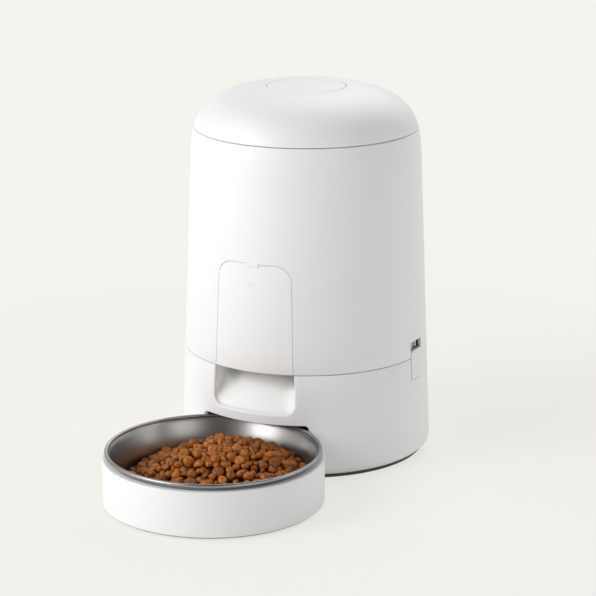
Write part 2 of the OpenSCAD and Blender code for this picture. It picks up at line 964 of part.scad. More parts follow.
// Round housing that stands on the deck and carries the drive
module tower_housing() {
    color(inner_white)
        difference() {
            union() {
                tube(deck_top, cap_under, tower_r - tower_wall, tower_r);
                tube(deck_top, deck_top + 2, tower_r - tower_wall, tower_r + 6);
            }
            duct(deck_top - 1, cap_under + 1, chute_t + 0.3, -body_d);
            // Ventilation slots behind the motor
            for (turn = [60:15:120])
                spin_to(turn, tower_r - tower_wall - 1)
                    span([0, -1.5, deck_top + 10], [tower_wall + 3, 1.5, deck_top + 36]);
        }
}

module tower_cap() {
    color(inner_white)
        difference() {
            union() {
                translate([0, 0, cap_under]) cylinder(r = tower_r, h = cap_t);
                duct(cap_under, cap_top, chute_t, duct_front - chute_t);
                tube(cap_under - 4, cap_under + 1, tower_r - tower_wall - 2, tower_r - tower_wall - 0.2);
            }
            duct(cap_under - 5, cap_top + 1, 0, duct_front);
            duct(cap_under - 5, cap_under, chute_t + 0.3, -body_d);
            translate([0, 0, cap_under - 1]) cylinder(r = bush_r + 0.02, h = cap_t + 2);
            transfer_frame() translate([0, 0, cap_under - 1]) cylinder(r = axle_r + 0.02, h = 2.6);
        }
}

module gear_plate() {
    color(inner_white)
        difference() {
            union() {
                translate([0, 0, plate_under]) cylinder(r = tower_r - tower_wall - 0.5, h = plate_t);
                for (turn = plate_posts)
                    spin_to(turn, plate_post_reach)
                        translate([0, 0, plate_top - 1]) cylinder(r = 3.5, h = cap_under - plate_top + 1);
                translate([0, 0, plate_top - 1]) cylinder(r = 6, h = 3);
                transfer_frame() translate([0, 0, plate_top - 1]) cylinder(r = 3.5, h = 2);
            }
            duct(plate_under - 1, cap_top, chute_t + 0.3, -body_d);
            translate([0, 0, plate_under - 1]) cylinder(r = lower_journal_r + bearing_gap, h = 10);
            transfer_frame() translate([0, 0, plate_under - 1]) cylinder(r = axle_r + 0.02, h = 10);
            motor_frame() {
                translate([0, 0, plate_under - 1]) cylinder(r = 6.2, h = 10);
                for (side = [-1, 1])
                    translate([side * motor_screw_x, 0, plate_under - 1]) cylinder(r = 1.2, h = 10);
            }
        }
}

module motor() {
    can_r = motor_d / 2;
    color(steel)
        motor_frame()
            translate([0, 0, plate_under - motor_l])
                difference() {
                    union() {
                        translate([0, 0, 1.5]) cylinder(r = can_r, h = motor_l - 1.5);
                        cylinder(r = can_r - 1.2, h = 1.6);
                        translate([0, 0, -1.6]) cylinder(r = 3.4, h = 2);
                        translate([0, 0, motor_l - 1]) cylinder(r = 5.9, h = 3);
                    }
                    translate([0, 0, motor_l - 14]) cylinder(r = motor_shaft_r + bearing_gap, h = 20);
                    for (side = [-1, 1])
                        translate([side * can_r, -4, -2]) cube([3, 8, motor_l / 2]);
                }
    color(steel)
        motor_frame()
            for (side = [-1, 1])
                translate([side * motor_screw_x, 0, plate_under - 4]) {
                    cylinder(r = 1.15, h = 8);
                    translate([0, 0, plate_t + 4]) cylinder(r = 2.2, h = 1.4);
                }
}

module motor_pinion() {
    shaft_z = plate_under - 12;
    color(brass)
        motor_frame()
            rotate([0, 0, pinion_turn]) {
                gear(pinion_teeth, input_module, large_gear_z - 0.8, large_gear_t + 1.6);
                translate([0, 0, shaft_z]) cylinder(r = motor_shaft_r, h = large_gear_z - shaft_z);
            }
}

module transfer_gear() {
    top = cap_under - 0.8;
    color("#f1efe6")
        transfer_frame()
            rotate([0, 0, transfer_small_turn])
                difference() {
                    union() {
                        gear(large_teeth, input_module, large_gear_z, large_gear_t);
                        gear(small_teeth, output_module, output_gear_z - 1.2, output_gear_t + 2.4);
                        translate([0, 0, plate_top + 1.4]) cylinder(r = 4, h = top - plate_top - 1.4);
                    }
                    translate([0, 0, plate_top]) cylinder(r = axle_r + bearing_gap, h = 30);
                    // Lightening ring in the large step
                    translate([0, 0, large_gear_z + large_gear_t - 1.4])
                        difference() {
                            cylinder(r = input_module * large_teeth / 2 - 3, h = 5);
                            cylinder(r = 6.5, h = 5);
                        }
                }
}

module transfer_axle() {
    color(steel)
        transfer_frame()
            translate([0, 0, plate_under + 0.2]) cylinder(r = axle_r, h = cap_under + 1.4 - plate_under);
}

module hex_bar(af, low, high) {
    translate([0, 0, low]) cylinder(d = af / cos(30), h = high - low, $fn = 6);
}

// Output gear, its shaft and the coupler that lifts out of the portion wheel
module output_gear() {
    color("#f1efe6")
        difference() {
            union() {
                gear(output_teeth, output_module, output_gear_z, output_gear_t);
                translate([0, 0, plate_under + 0.4]) cylinder(r = lower_journal_r, h = 10);
                translate([0, 0, plate_top + 2.4]) cylinder(r = 5, h = output_gear_z - plate_top - 2);
                translate([0, 0, output_gear_z])
                    cylinder(r = upper_journal_r, h = cap_top + 0.6 - output_gear_z);
                translate([0, 0, output_gear_z]) cylinder(r = 9.4, h = output_gear_t + 0.6);
                hex_bar(coupler_af, cap_top, coupler_top);
            }
            // Holes that lighten the web
            for (turn = [0:60:300])
                spin_to(turn + 30, 15.2)
                    translate([0, 0, output_gear_z - 1]) cylinder(r = 4, h = output_gear_t + 2);
            translate([0, 0, coupler_top - 4]) cylinder(r1 = 0.6, r2 = 2.8, h = 4.1);
        }
}

module output_bush() {
    color(brass)
        difference() {
            union() {
                translate([0, 0, cap_under - 0.6]) cylinder(r = bush_r, h = cap_t + 0.8);
                translate([0, 0, cap_under - 0.6]) cylinder(r = bush_r + 2, h = 0.55);
            }
            translate([0, 0, cap_under - 2]) cylinder(r = upper_journal_r + bearing_gap, h = cap_t + 5);
        }
}

// ---------------------------------------------------------------- side latches

// Latch on the +X side: a flush tab on a barrel, with a nose behind its upper edge
module latch() {
    groove_z = latch_top - 5;
    half_w = latch_w / 2;
    x = skin_r(hinge_z) - barrel_r;
    difference() {
        union() {
            intersection() {
                skin_band(hinge_z, latch_top, 0, 2.4);
                span([0, -half_w, hinge_z], [body_d, half_w, latch_top]);
            }
            translate([x, 0, hinge_z])
                rotate([90, 0, 0]) cylinder(r = barrel_r, h = latch_w, center = true);
            // Nose that hooks over the catch plate
            translate([skin_r(latch_top) - 4.6, -6, latch_top - 2.4]) cube([3.6, 12, 2]);
        }
        latch_pin_shape(latch_pin_r + bearing_gap, body_d);
        // Shallow line that marks the grip
        intersection() {
            skin_band(groove_z - 0.4, groove_z + 0.4, -1, 0.5);
            span([0, -half_w - 1, 0], [body_d, half_w + 1, body_h]);
        }
        // Bevel along the upper edge
        translate([skin_r(latch_top), 0, latch_top])
            rotate([0, 45, 0]) cube([1.7, latch_w + 2, 1.7], center = true);
    }
}

module latch_right() {
    color(white) latch();
}

module latch_left() {
    color(white) mirror([1, 0, 0]) latch();
}

module latch_pins() {
    color(steel) both_sides() latch_pin_shape(latch_pin_r, latch_w / 2 + 3);
}

// ---------------------------------------------------------------- tank

// Ring under the tank that drops inside the base
module tank_spigot() {
    out_r = skin_r(base_top, wall) - 0.4;
    in_r = out_r - 2;
    seat_z = deck_top + 0.3;
    wall_r = skin_r(tank_bottom + 4, wall / 2);
    rotate_extrude()
        polygon([
            [in_r, seat_z], [out_r, seat_z], [out_r, tank_bottom], [wall_r, tank_bottom],
            [wall_r, tank_bottom + 4], [in_r, tank_bottom + 2]
        ]);
}

boss_reach = skin_r(tank_floor) - wall - 5.6;

// Boss that carries the food tank's floor on a screw from below
module tank_boss() {
    low = tank_under - 26;
    translate([boss_reach, 0, low]) cylinder(r = 4.2, h = tank_under - low);
    span([boss_reach, -1.2, low], [body_d / 2, 1.2, tank_under]);
}

// White outer shell of the tank, open at the front over the panel
module tank_shell() {
    recess_half = latch_w / 2 + latch_gap;
    color(white)
        difference() {
            union() {
                skin_band(tank_bottom, tank_top, 0, wall);
                tank_spigot();
                intersection() {
                    for (turn = boss_turns) spin_to(turn) tank_boss();
                    skin_core(base_h, tank_top, wall / 2);
                }
            }
            for (turn = boss_turns)
                spin_to(turn, boss_reach) translate([0, 0, base_h]) cylinder(r = 1.6, h = tank_floor_h);
            front_window(0);
            span(
                [-outlet_w / 2 - 6, -body_d, deck_top - 1],
                [outlet_w / 2 + 6, -body_d / 4, tank_bottom - 0.01]
            );
            both_sides() {
                span([body_d / 4, -recess_half, deck_top - 1], [body_d, recess_half, recess_top]);
                span(
                    [body_d / 4, -recess_half - 3.6, deck_top - 1],
                    [skin_r(tank_bottom, wall) + 0.2, recess_half + 3.6, tank_bottom + 5]
                );
            }
        }
}

// Dark pocket behind each finger recess, with two ribs and the ledge that the nose hooks over
module catch_plates() {
    x = skin_r(latch_top) - 7.6;
    side_y = latch_w / 2 + 1.4;
    half_w = side_y + 0.8;
    low = base_h - 0.1;
    top = recess_top + 1.6;
    color(charcoal)
        both_sides()
            intersection() {
                union() {
                    span([x - 1.6, -half_w, low], [x, half_w, top]);
                    span([x - 1.6, -half_w, recess_top + 0.05], [body_d, half_w, top]);
                    for (y = [-side_y, side_y])
                        span([x - 1.6, y - 0.8, tank_bottom + 5.2], [body_d, y + 0.8, top]);
                    for (y = [-3, 3])
                        span([x - 1, y - 0.9, latch_top + 1], [x + 3.4, y + 0.9, recess_top + 0.6]);
                    span([x - 1, -6, low], [skin_r(latch_top) - 5, 6, latch_top - 2.8]);
                }
                skin_core(base_h - 2, recess_top + 4, wall + 0.1);
            }
}

liner_set = wall + liner_gap;

// Food tank: a drum for the portion wheel under a wide sloping shoulder
module food_tank() {
    bore = journal_r + bearing_gap;
    disc_r = skin_r(tank_floor, liner_set);
    step_r = chamber_r + 3;
    inner_set = liner_set + tank_wall;
    color(inner_white)
        difference() {
            union() {
                rotate_extrude()
                    polygon(concat(
                        [
                            [bore, tank_floor], [chamber_r, tank_floor], [chamber_r, ledge_z],
                            [step_r, ledge_z], [step_r, ledge_z + guard_t + 0.2]
                        ],
                        skin_path(shoulder_top, tank_top, inner_set),
                        reversed(skin_path(shoulder_top - 2, tank_top, liner_set)),
                        [
                            [step_r + 2.2, ledge_z - 0.6], [step_r + 2.2, ledge_z - tank_wall],
                            [chamber_r + tank_wall, ledge_z - tank_wall - 1.5],
                            [chamber_r + tank_wall, tank_floor], [disc_r, tank_floor],
                            [disc_r, tank_under], [bore, tank_under]
                        ]
                    ));
                // Collar round the drop hole, just above the tower's cap
                front_sector(
                    cap_top + 0.3, tank_floor - 0.5, hub_r - 0.4, wheel_r + 1.4, drop_half_angle + 1.4
                );
                tube(tank_under - 0.9, tank_floor - 0.5, bore, bore + 3);
            }
            front_sector(cap_top - 1, tank_floor + 1, hub_r + 1, wheel_r, drop_half_angle);
            for (turn = boss_turns)
                spin_to(turn, boss_reach) translate([0, 0, tank_under - 1]) cylinder(r = 1.45, h = 5);
        }
}

module tank_screws() {
    head_z = tank_under - 26;
    color(steel)
        for (turn = boss_turns)
            spin_to(turn, boss_reach) {
                translate([0, 0, head_z - 2]) cylinder(r = 3, h = 1.95);
                translate([0, 0, head_z - 1]) cylinder(r = 1.42, h = 27 + tank_wall - 0.2);
            }
}

// ---------------------------------------------------------------- portion wheel

module vane(t) {
    intersection() {
        span([hub_r - 3, -t / 2, wheel_z], [wheel_r + 5, t / 2, wheel_z + vane_h]);
        cylinder(r = wheel_r, h = body_h);
    }
}

// Wheel whose vanes sweep the food round to the drop hole
module portion_wheel() {
    color("#d9dcdd")
        difference() {
            union() {
                rotate_extrude()
                    polygon([
                        [0, wheel_z], [hub_r, wheel_z], [hub_r, wheel_z + hub_edge_h],
                        [hub_neck_r, hub_top - 4], [knob_r + 1, hub_top], [0, hub_top]
                    ]);
                translate([0, 0, tank_under + 0.1]) cylinder(r = journal_r, h = wheel_z - tank_under);
                for (i = [0:vanes - 1]) rotate([0, 0, 360 * (i + 0.5) / vanes - 90]) vane(2.2);
            }
            hex_bar(coupler_af + 2 * socket_gap, tank_under - 1, coupler_top + 1.5);
            // Hollow under the hub, between the journal and the rim
            difference() {
                translate([0, 0, wheel_z - 1]) cylinder(r = hub_r - 2.2, h = hub_edge_h);
                cylinder(r = journal_r, h = body_h);
            }
            translate([0, 0, hub_top - 8]) cylinder(r = 4.9, h = 20);
        }
}

// Soft fins that stop the food bridging above the wheel
module agitator() {
    color(rubber_grey)
        difference() {
            union() {
                translate([0, 0, hub_top]) cylinder(r = knob_r, h = agitator_t);
                for (turn = [20, 200])
                    rotate([90, 0, turn])
                        translate([0, 0, -1])
                            linear_extrude(height = 2)
                                polygon([
                                    [7, hub_top], [16, hub_top + 0.6], [43, hub_top + 8],
                                    [46, hub_top + 21], [42, hub_top + 22], [37, hub_top + 12],
                                    [knob_r + 1, hub_top + agitator_t], [7, hub_top + agitator_t]
                                ]);
            }
            translate([0, 0, hub_top - 1]) cylinder(r = 5, h = 6);
        }
}

module wheel_knob() {
    ribs = 12;
    color("#d9dcdd")
        difference() {
            union() {
                translate([0, 0, hub_top - 7.6]) cylinder(r = 4.8, h = 11);
                translate([0, 0, hub_top + agitator_t + 0.1]) cylinder(r = knob_r, h = 4);
                translate([0, 0, hub_top + 6.5]) cylinder(r1 = knob_r, r2 = knob_r - 1.5, h = 1.5);
            }
            for (i = [0:ribs - 1])
                spin_to(360 * i / ribs, knob_r + 0.9)
                    translate([0, 0, hub_top + 3.4]) cylinder(r = 1.4, h = 6);
        }
}

// Roof over the drop hole, so that only a swept portion falls
module drop_guard() {
    half_angle = 180 / vanes + drop_half_angle + 3;
    color(inner_white)
        difference() {
            union() {
                front_sector(ledge_z, ledge_z + guard_t, guard_r, chamber_r + 2.7, half_angle);
                // Ridge that sheds the food to both sides
                intersection() {
                    front_sector(ledge_z, ledge_z + 9, guard_r + 0.5, chamber_r - 1, half_angle);
                    rotate([90, 0, 0])
                        linear_extrude(height = body_d)
                            polygon([[-26, ledge_z + 1], [26, ledge_z + 1], [0, ledge_z + 8]]);
                }
            }
            // Hollow under the ridge
            rotate([90, 0, 0])
                translate([0, 0, guard_r + 3])
                    linear_extrude(height = chamber_r - guard_r - 7)
                        polygon([
                            [-20, ledge_z - 1], [20, ledge_z - 1], [20, ledge_z],
                            [0, ledge_z + 5.6], [-20, ledge_z]
                        ]);
        }
}

// ---------------------------------------------------------------- lid

button_r = button_d / 2;
button_hole_r = button_r + button_gap;
mouth_r = skin_r(tank_top, liner_set + tank_wall);
cup_r = mouth_r - 1;
cup_t = 2;
cup_z = tank_top - cup_depth;
cup_floor = cup_z + cup_t;
flange_top = lid_bottom + 2;
guide_r = 8.6;
well_z = body_h - 14;
cam_z = body_h - 25;
cam_r = button_r - 8;
cam_rise = 4;
cam_t = 2;
bolt_half_w = 4;
bolt_z = cup_floor + 0.3;
bolt_t = 3.4;
bolt_post_x = cam_r - 2.4;
tunnel_x = cam_r + cam_rise + 4.6;
tunnel_l = cup_r - 8.6 - tunnel_x;
lid_post_reach = (button_hole_r + cup_r) / 2;

module lid_shell() {
    color(white)
        difference() {
            union() {
                skin_band(lid_bottom, body_h, 0, wall);
                intersection() {
                    tube(well_z, body_h, button_hole_r, button_hole_r + 1.6);
                    skin_core(lid_bottom, body_h, wall / 2);
                }
            }
            translate([0, 0, well_z - 1]) cylinder(r = button_hole_r, h = 30);
        }
}

// Tunnel that guides one bolt across the cup
module bolt_tunnel() {
    wall_t = 1.6;
    half_w = bolt_half_w + 0.2;
    difference() {
        translate([tunnel_x, -half_w - wall_t, cup_floor - 0.5])
            cube([tunnel_l, 2 * (half_w + wall_t), bolt_z + bolt_t + wall_t + 0.5 - cup_floor]);
        translate([tunnel_x - 1, -half_w, bolt_z - 0.2]) cube([tunnel_l + 2, 2 * half_w, bolt_t + 0.4]);
    }
}

// Cup that closes the mouth of the tank and carries the catch
module lid_cup() {
    flange_r = skin_r(flange_top, wall) - 0.2;
    color(inner_white)
        difference() {
            union() {
                translate([0, 0, cup_z]) cylinder(r = cup_r, h = cup_t);
                tube(cup_z, flange_top, cup_r - 2, cup_r);
                tube(tank_top + 0.3, flange_top, cup_r - 2, flange_r);
                tube(cup_z, cup_floor + 17, guide_r, guide_r + 1.8);
                both_sides() bolt_tunnel();
                intersection() {
                    for (turn = [90, 210, 330])
                        spin_to(turn, lid_post_reach)
                            translate([0, 0, cup_z + 1]) cylinder(r = 3.6, h = 40);
                    skin_core(cup_z, body_h, wall + 0.05);
                }
            }
            translate([0, 0, cup_floor]) cylinder(r = guide_r, h = 40);
            both_sides()
                translate([cup_r - 6, -bolt_half_w - 0.2, bolt_z - 0.2])
                    cube([8, 2 * bolt_half_w + 0.4, bolt_t + 0.4]);
        }
}

// Soft ring between the cup and the mouth of the tank
module lid_seal() {
    seal_low = bolt_z + bolt_t + 0.4;
    root_r = mouth_r - 0.5;
    crest_r = mouth_r - 0.25;
    color(rubber_grey)
        rotate_extrude()
            polygon([
                [cup_r + 0.05, seal_low], [root_r, seal_low], [crest_r, seal_low + 0.8],
                [root_r, seal_low + 1.5], [crest_r, seal_low + 2.2], [root_r, seal_low + 2.9],
                [root_r, tank_top + 0.2], [cup_r + 0.05, tank_top + 0.2]
            ]);
}

// Round button whose cam ring draws both bolts inwards
module lid_button() {
    plate_z = body_h - 2.6;
    ring_r = button_r - 0.2;
    foot_z = cup_floor + button_travel + 1;
    cam_out_r = cam_r + cam_rise + cam_t;
    color(white) {
        intersection() {
            translate([0, 0, plate_z]) cylinder(r = button_r, h = 10);
            skin_core(lid_bottom, body_h, 0);
        }
        translate([0, 0, foot_z]) cylinder(r = guide_r - bearing_gap, h = plate_z + 1 - foot_z);
        rotate_extrude()
            polygon([
                [cam_r + cam_rise, cam_z], [cam_out_r, cam_z], [cam_out_r, well_z + 1.6],
                [ring_r, well_z + 1.6], [ring_r, plate_z + 0.5], [ring_r - 2, plate_z + 0.5],
                [ring_r - 2, well_z + 3.6], [cam_r, cam_z + cam_rise + 2.6], [cam_r, cam_z + cam_rise]
            ]);
    }
}

function spring_point(turn, mean_r, low, pitch) =
    [mean_r * cos(turn), mean_r * sin(turn), low + pitch * turn / 360];

// Coil spring swept as one closed solid
module coil_spring(mean_r, wire_r, low, high, coils) {
    sides = 8;
    rings = coils * 14;
    pitch = (high - low - 2 * wire_r) / coils;
    points = [
        for (i = [0:rings], j = [0:sides - 1])
            let (
                turn = 360 * coils * i / rings,
                centre = spring_point(turn, mean_r, low + wire_r, pitch),
                around = 360 * j / sides
            )
                centre + wire_r * [cos(around) * cos(turn), cos(around) * sin(turn), sin(around)]
    ];
    sides_list = [
        for (i = [0:rings - 1], j = [0:sides - 1])
            let (k = (j + 1) % sides)
                [i * sides + j, i * sides + k, (i + 1) * sides + k, (i + 1) * sides + j]
    ];
    polyhedron(
        points = points,
        faces = concat(
            sides_list,
            [[for (j = [sides - 1:-1:0]) j], [for (j = [0:sides - 1]) rings * sides + j]]
        )
    );
}

module button_spring() {
    color(steel) coil_spring(11.8, 0.6, cup_floor + 0.1, body_h - 2.7, 6);
}

// Sliding bolt on the +X side, with a post whose bevel meets the cam ring
module lid_bolt() {
    tip_x = cup_r + 0.5;
    post_face = cam_r - 0.7;
    rotate([90, 0, 0])
        translate([0, 0, -bolt_half_w])
            linear_extrude(height = 2 * bolt_half_w)
                polygon([
                    [bolt_post_x, bolt_z], [tip_x - 0.8, bolt_z],
                    [tip_x, bolt_z + 1], [tip_x, bolt_z + bolt_t],
                    [post_face + cam_rise, bolt_z + bolt_t], [post_face + cam_rise, cam_z],
                    [post_face, cam_z + cam_rise], [bolt_post_x, cam_z + cam_rise]
                ]);
}

module lid_bolt_right() {
    color("#f1efe6") lid_bolt();
}

module lid_bolt_left() {
    color("#f1efe6") mirror([1, 0, 0]) lid_bolt();
}

// Ring under the cup that holds a sachet of drying agent
module desiccant_box() {
    low = cup_z - 11;
    color(inner_white)
        difference() {
            tube(low, cup_z, 27, 28.8);
            for (turn = [0:20:340])
                spin_to(turn, 25) span([0, -1.2, low + 3.4], [6, 1.2, cup_z - 2]);
        }
}

// Twist-off cover with vent slots and a finger bar
module desiccant_cover() {
    top = cup_z - 11.3;
    color(inner_white)
        difference() {
            union() {
                translate([0, 0, top - 1.8]) cylinder(r = 28.8, h = 1.8);
                tube(top - 0.5, top + 3, 25.2, 26.8);
                span([-13, -1.5, top - 6], [13, 1.5, top - 1.5]);
            }
            for (turn = [15:30:345])
                spin_to(turn, 9) span([0, -0.9, top - 3], [12, 0.9, top + 1]);
        }
}

// ---------------------------------------------------------------- bowl and tray

module tray_frame() {
    translate([0, tray_y, 0]) children();
}

module bowl_tray() {
    lip_r = bowl_d / 2 - bowl_bead_d + 0.9;
    edge_r = 1.2;
    color(white)
        tray_frame()
            rotate_extrude()
                polygon(concat(
                    [[0, tray_lift]],
                    arc(tray_r - edge_r, tray_lift + edge_r, edge_r, -90, 0),
                    arc(tray_r - edge_r, tray_h - edge_r, edge_r, 0, 90),
                    [
                        [lip_r, tray_h], [lip_r, tray_h - 1.8], [tray_r - tray_wall, tray_h - 4.6],
                        [tray_r - tray_wall, tray_lift + tray_wall], [0, tray_lift + tray_wall]
                    ]
                ));
}

module tray_pads() {
    color(rubber_grey)
        tray_frame()
            for (turn = [30, 150, 270]) spin_to(turn, tray_r - 16) cylinder(r = 5, h = tray_lift);
}

// Tongue that locates the tray in the slot under the outlet
module tray_clip() {
    back = tray_r + 5;
    color(charcoal)
        tray_frame()
            difference() {
                span([-14, tray_r - 5, 10], [14, back, 14]);
                translate([0, 0, 9]) cylinder(r = tray_r + 0.05, h = 6);
                for (side = [-1, 1])
                    translate([side * 15.5, back + 0.5, 9])
                        rotate([0, 0, 45]) cube([4, 4, 14], center = true);
            }
}

// Steel bowl: a flat bottom, a round heel, a steep wall and a rolled rim
module food_bowl() {
    bead_r = bowl_bead_d / 2;
    bead_x = bowl_d / 2 - bead_r;
    floor_z = tray_lift + tray_wall + 0.9;
    wall_x = bead_x - bead_r;
    heel_r = bowl_heel_r;
    floor_r = wall_x - heel_r - 0.3;
    color(steel)
        tray_frame()
            rotate_extrude()
                union() {
                    polygon(concat(
                        [[0, floor_z]],
                        arc(floor_r, floor_z + heel_r, heel_r, -90, -6),
                        [
                            [wall_x, bowl_z], [wall_x + bowl_t * 0.8, bowl_z + bead_r * 0.6],
                            [wall_x - bowl_t, bowl_z]
                        ],
                        arc(floor_r, floor_z + heel_r, heel_r - bowl_t, -6, -90),
                        [[0, floor_z + bowl_t]]
                    ));
                    translate([bead_x, bowl_z]) circle(r = bead_r);
                }
}

// ---------------------------------------------------------------- the whole model

base_shell();
base_pan();
foot_pads();
base_deck();
base_screws();
battery_box();
batteries();
battery_contacts();
battery_door();
rear_panel();
power_socket();
feed_button();
main_board();
food_chute();
front_panel();
indicator_lens();
indicator_board();
tower_housing();
tower_cap();
gear_plate();
motor();
motor_pinion();
transfer_gear();
transfer_axle();
output_gear();
output_bush();
latch_left();
latch_right();
latch_pins();
tank_shell();
food_tank();
catch_plates();
tank_screws();
portion_wheel();
agitator();
wheel_knob();
drop_guard();
lid_shell();
lid_cup();
lid_seal();
lid_button();
button_spring();
lid_bolt_left();
lid_bolt_right();
desiccant_box();
desiccant_cover();
bowl_tray();
tray_pads();
tray_clip();
food_bowl();
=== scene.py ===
"""Looks of a round automatic pet feeder: a domed food tank on a white base, with a chute over a steel bowl.

All sizes in the classes below are millimetres in the frame of the CAD model, with +Z up, the floor at
z = 0, the body's axis at x = y = 0 and the bowl towards -Y. They turn to metres when a mesh is finished.
"""
import json
import logging
import math
import random
from dataclasses import dataclass, field
from enum import Enum
from typing import Any, Sequence

import bmesh
import bpy
from mathutils import Matrix, Vector, noise

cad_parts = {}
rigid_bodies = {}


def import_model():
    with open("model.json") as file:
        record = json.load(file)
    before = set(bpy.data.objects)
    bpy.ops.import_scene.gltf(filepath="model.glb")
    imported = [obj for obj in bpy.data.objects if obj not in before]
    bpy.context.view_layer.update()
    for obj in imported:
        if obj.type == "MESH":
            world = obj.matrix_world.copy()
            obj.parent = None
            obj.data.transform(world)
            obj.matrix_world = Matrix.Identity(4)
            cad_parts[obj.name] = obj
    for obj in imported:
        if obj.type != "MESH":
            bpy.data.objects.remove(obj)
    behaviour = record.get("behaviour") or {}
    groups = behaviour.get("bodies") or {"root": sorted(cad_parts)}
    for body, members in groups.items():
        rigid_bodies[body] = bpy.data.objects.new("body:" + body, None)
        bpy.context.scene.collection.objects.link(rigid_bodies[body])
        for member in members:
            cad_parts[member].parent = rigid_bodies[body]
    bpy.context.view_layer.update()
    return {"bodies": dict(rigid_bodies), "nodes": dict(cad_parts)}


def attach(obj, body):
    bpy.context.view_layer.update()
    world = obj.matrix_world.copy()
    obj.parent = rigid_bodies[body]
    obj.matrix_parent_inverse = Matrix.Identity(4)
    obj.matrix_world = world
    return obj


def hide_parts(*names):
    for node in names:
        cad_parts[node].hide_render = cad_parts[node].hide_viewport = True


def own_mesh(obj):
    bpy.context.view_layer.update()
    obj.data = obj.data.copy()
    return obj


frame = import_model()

LOG = logging.getLogger("pet_feeder")
MM = 0.001
BOWL_Y = -143.5  # where the axis of the bowl and its tray stands
ONE_POINT = 1e-4  # vertices that are closer than this are one
CUT_IN, CUT_OUT = 50.0, 110.0  # how far out the blocks that cut the wall start and end

Point = tuple[float, float]
Mesh = bmesh.types.BMesh
Tree = bpy.types.NodeTree


# ---- mesh helpers


class Shading(Enum):
    """How a piece's faces are shaded."""

    SMOOTH = 180.0
    CREASED = 32.0


def ring_profile(points: Sequence[Point]) -> Mesh:
    """Starts a mesh with a polyline in the XZ plane.

    Args:
        points: Radius and height of each point, in millimetres.

    Returns:
        The mesh with one edge between each pair of neighbours.
    """
    mesh = bmesh.new()
    made = [mesh.verts.new((x, 0.0, z)) for x, z in points]
    for near, far in zip(made, made[1:]):
        mesh.edges.new((near, far))
    return mesh


def revolve(points: Sequence[Point], steps: int = 192, closed: bool = True) -> Mesh:
    """Turns a profile round the Z axis.

    Args:
        points: Radius and height along the profile.
        steps: Number of steps in the full turn.
        closed: Whether the last point joins the first.

    Returns:
        The turned mesh with its poles merged and its faces outwards.
    """
    mesh = ring_profile(points)
    if closed:
        mesh.verts.ensure_lookup_table()
        mesh.edges.new((mesh.verts[-1], mesh.verts[0]))
    bmesh.ops.spin(
        mesh, geom=mesh.verts[:] + mesh.edges[:], cent=(0, 0, 0), axis=(0, 0, 1),
        angle=math.tau, steps=steps, use_merge=True,
    )
    tidy(mesh)
    return mesh


def tidy(mesh: Mesh) -> None:
    """Merges doubles and turns the faces outwards."""
    bmesh.ops.remove_doubles(mesh, verts=mesh.verts[:], dist=ONE_POINT)
    bmesh.ops.recalc_face_normals(mesh, faces=mesh.faces[:])


def loft(rings: Sequence[Sequence[Sequence[float]]], closed: bool) -> Mesh:
    """Spans a surface over a row of sections with equally many points.

    Args:
        rings: Points of each section, in order.
        closed: Whether each section is a closed ring; the first and the last are then capped.

    Returns:
        The surface.
    """
    mesh = bmesh.new()
    rows = []
    for ring in rings:
        verts = [mesh.verts.new(point) for point in ring]
        pairs = zip(verts, verts[1:] + verts[:1]) if closed else zip(verts, verts[1:])
        rows.append([mesh.edges.new(pair) for pair in pairs])
    for near, far in zip(rows, rows[1:]):
        bmesh.ops.bridge_loops(mesh, edges=near + far)
    if closed:
        for row in (rows[0], rows[-1]):
            bmesh.ops.triangle_fill(mesh, edges=row, use_beauty=True)
    return mesh


def prism(outline: Sequence[Point], depth: float) -> Mesh:
    """Extrudes an outline in the XY plane upwards.

    Args:
        outline: Corners in order.
        depth: Height of the prism.

    Returns:
        A closed prism from z = 0 to z = depth.
    """
    mesh = bmesh.new()
    face = mesh.faces.new([mesh.verts.new((x, y, 0.0)) for x, y in outline])
    grown = bmesh.ops.extrude_face_region(mesh, geom=[face])
    tops = [part for part in grown["geom"] if isinstance(part, bmesh.types.BMVert)]
    bmesh.ops.translate(mesh, verts=tops, vec=(0, 0, depth))
    bmesh.ops.recalc_face_normals(mesh, faces=mesh.faces[:])
    return mesh


def block(low: Sequence[float], high: Sequence[float], edge: float = 0.0) -> Mesh:
    """Makes a box between two corners.

    Args:
        low: Its lowest corner.
        high: Its highest corner.
        edge: Radius of its edges.

    Returns:
        The box.
    """
    mesh = bmesh.new()
    bmesh.ops.create_cube(mesh, size=1.0)
    bmesh.ops.scale(mesh, verts=mesh.verts[:], vec=[b - a for a, b in zip(low, high)])
    bmesh.ops.translate(mesh, verts=mesh.verts[:], vec=[(a + b) / 2 for a, b in zip(low, high)])
    if edge:
        bmesh.ops.bevel(
            mesh, geom=mesh.edges[:], offset=edge, affect="EDGES", segments=2, profile=0.5, material=-1
        )
    return mesh


def front_block(half: float, low: float, high: float, edge: float = 0.0) -> Mesh:
    """Makes a block that reaches through the front wall.

    Args:
        half: Half its width.
        low: Its lower end.
        high: Its upper end.
        edge: Radius of its edges.

    Returns:
        The block.
    """
    return block((-half, -CUT_OUT, low), (half, 10 - CUT_IN, high), edge)


def place(mesh: Mesh, *moves: Matrix) -> Mesh:
    """Applies transforms to a mesh, the last one first."""
    whole = Matrix.Identity(4)
    for move in moves:
        whole = whole @ move
    bmesh.ops.transform(mesh, matrix=whole, verts=mesh.verts[:])
    if whole.determinant() < 0:
        bmesh.ops.reverse_faces(mesh, faces=mesh.faces[:])
    return mesh


def turn(degrees: float, axis: str) -> Matrix:
    """Rotation about one of the axes."""
    return Matrix.Rotation(math.radians(degrees), 4, axis)


def shift(x: float, y: float, z: float) -> Matrix:
    """Translation, in the mesh's own unit."""
    return Matrix.Translation((x, y, z))


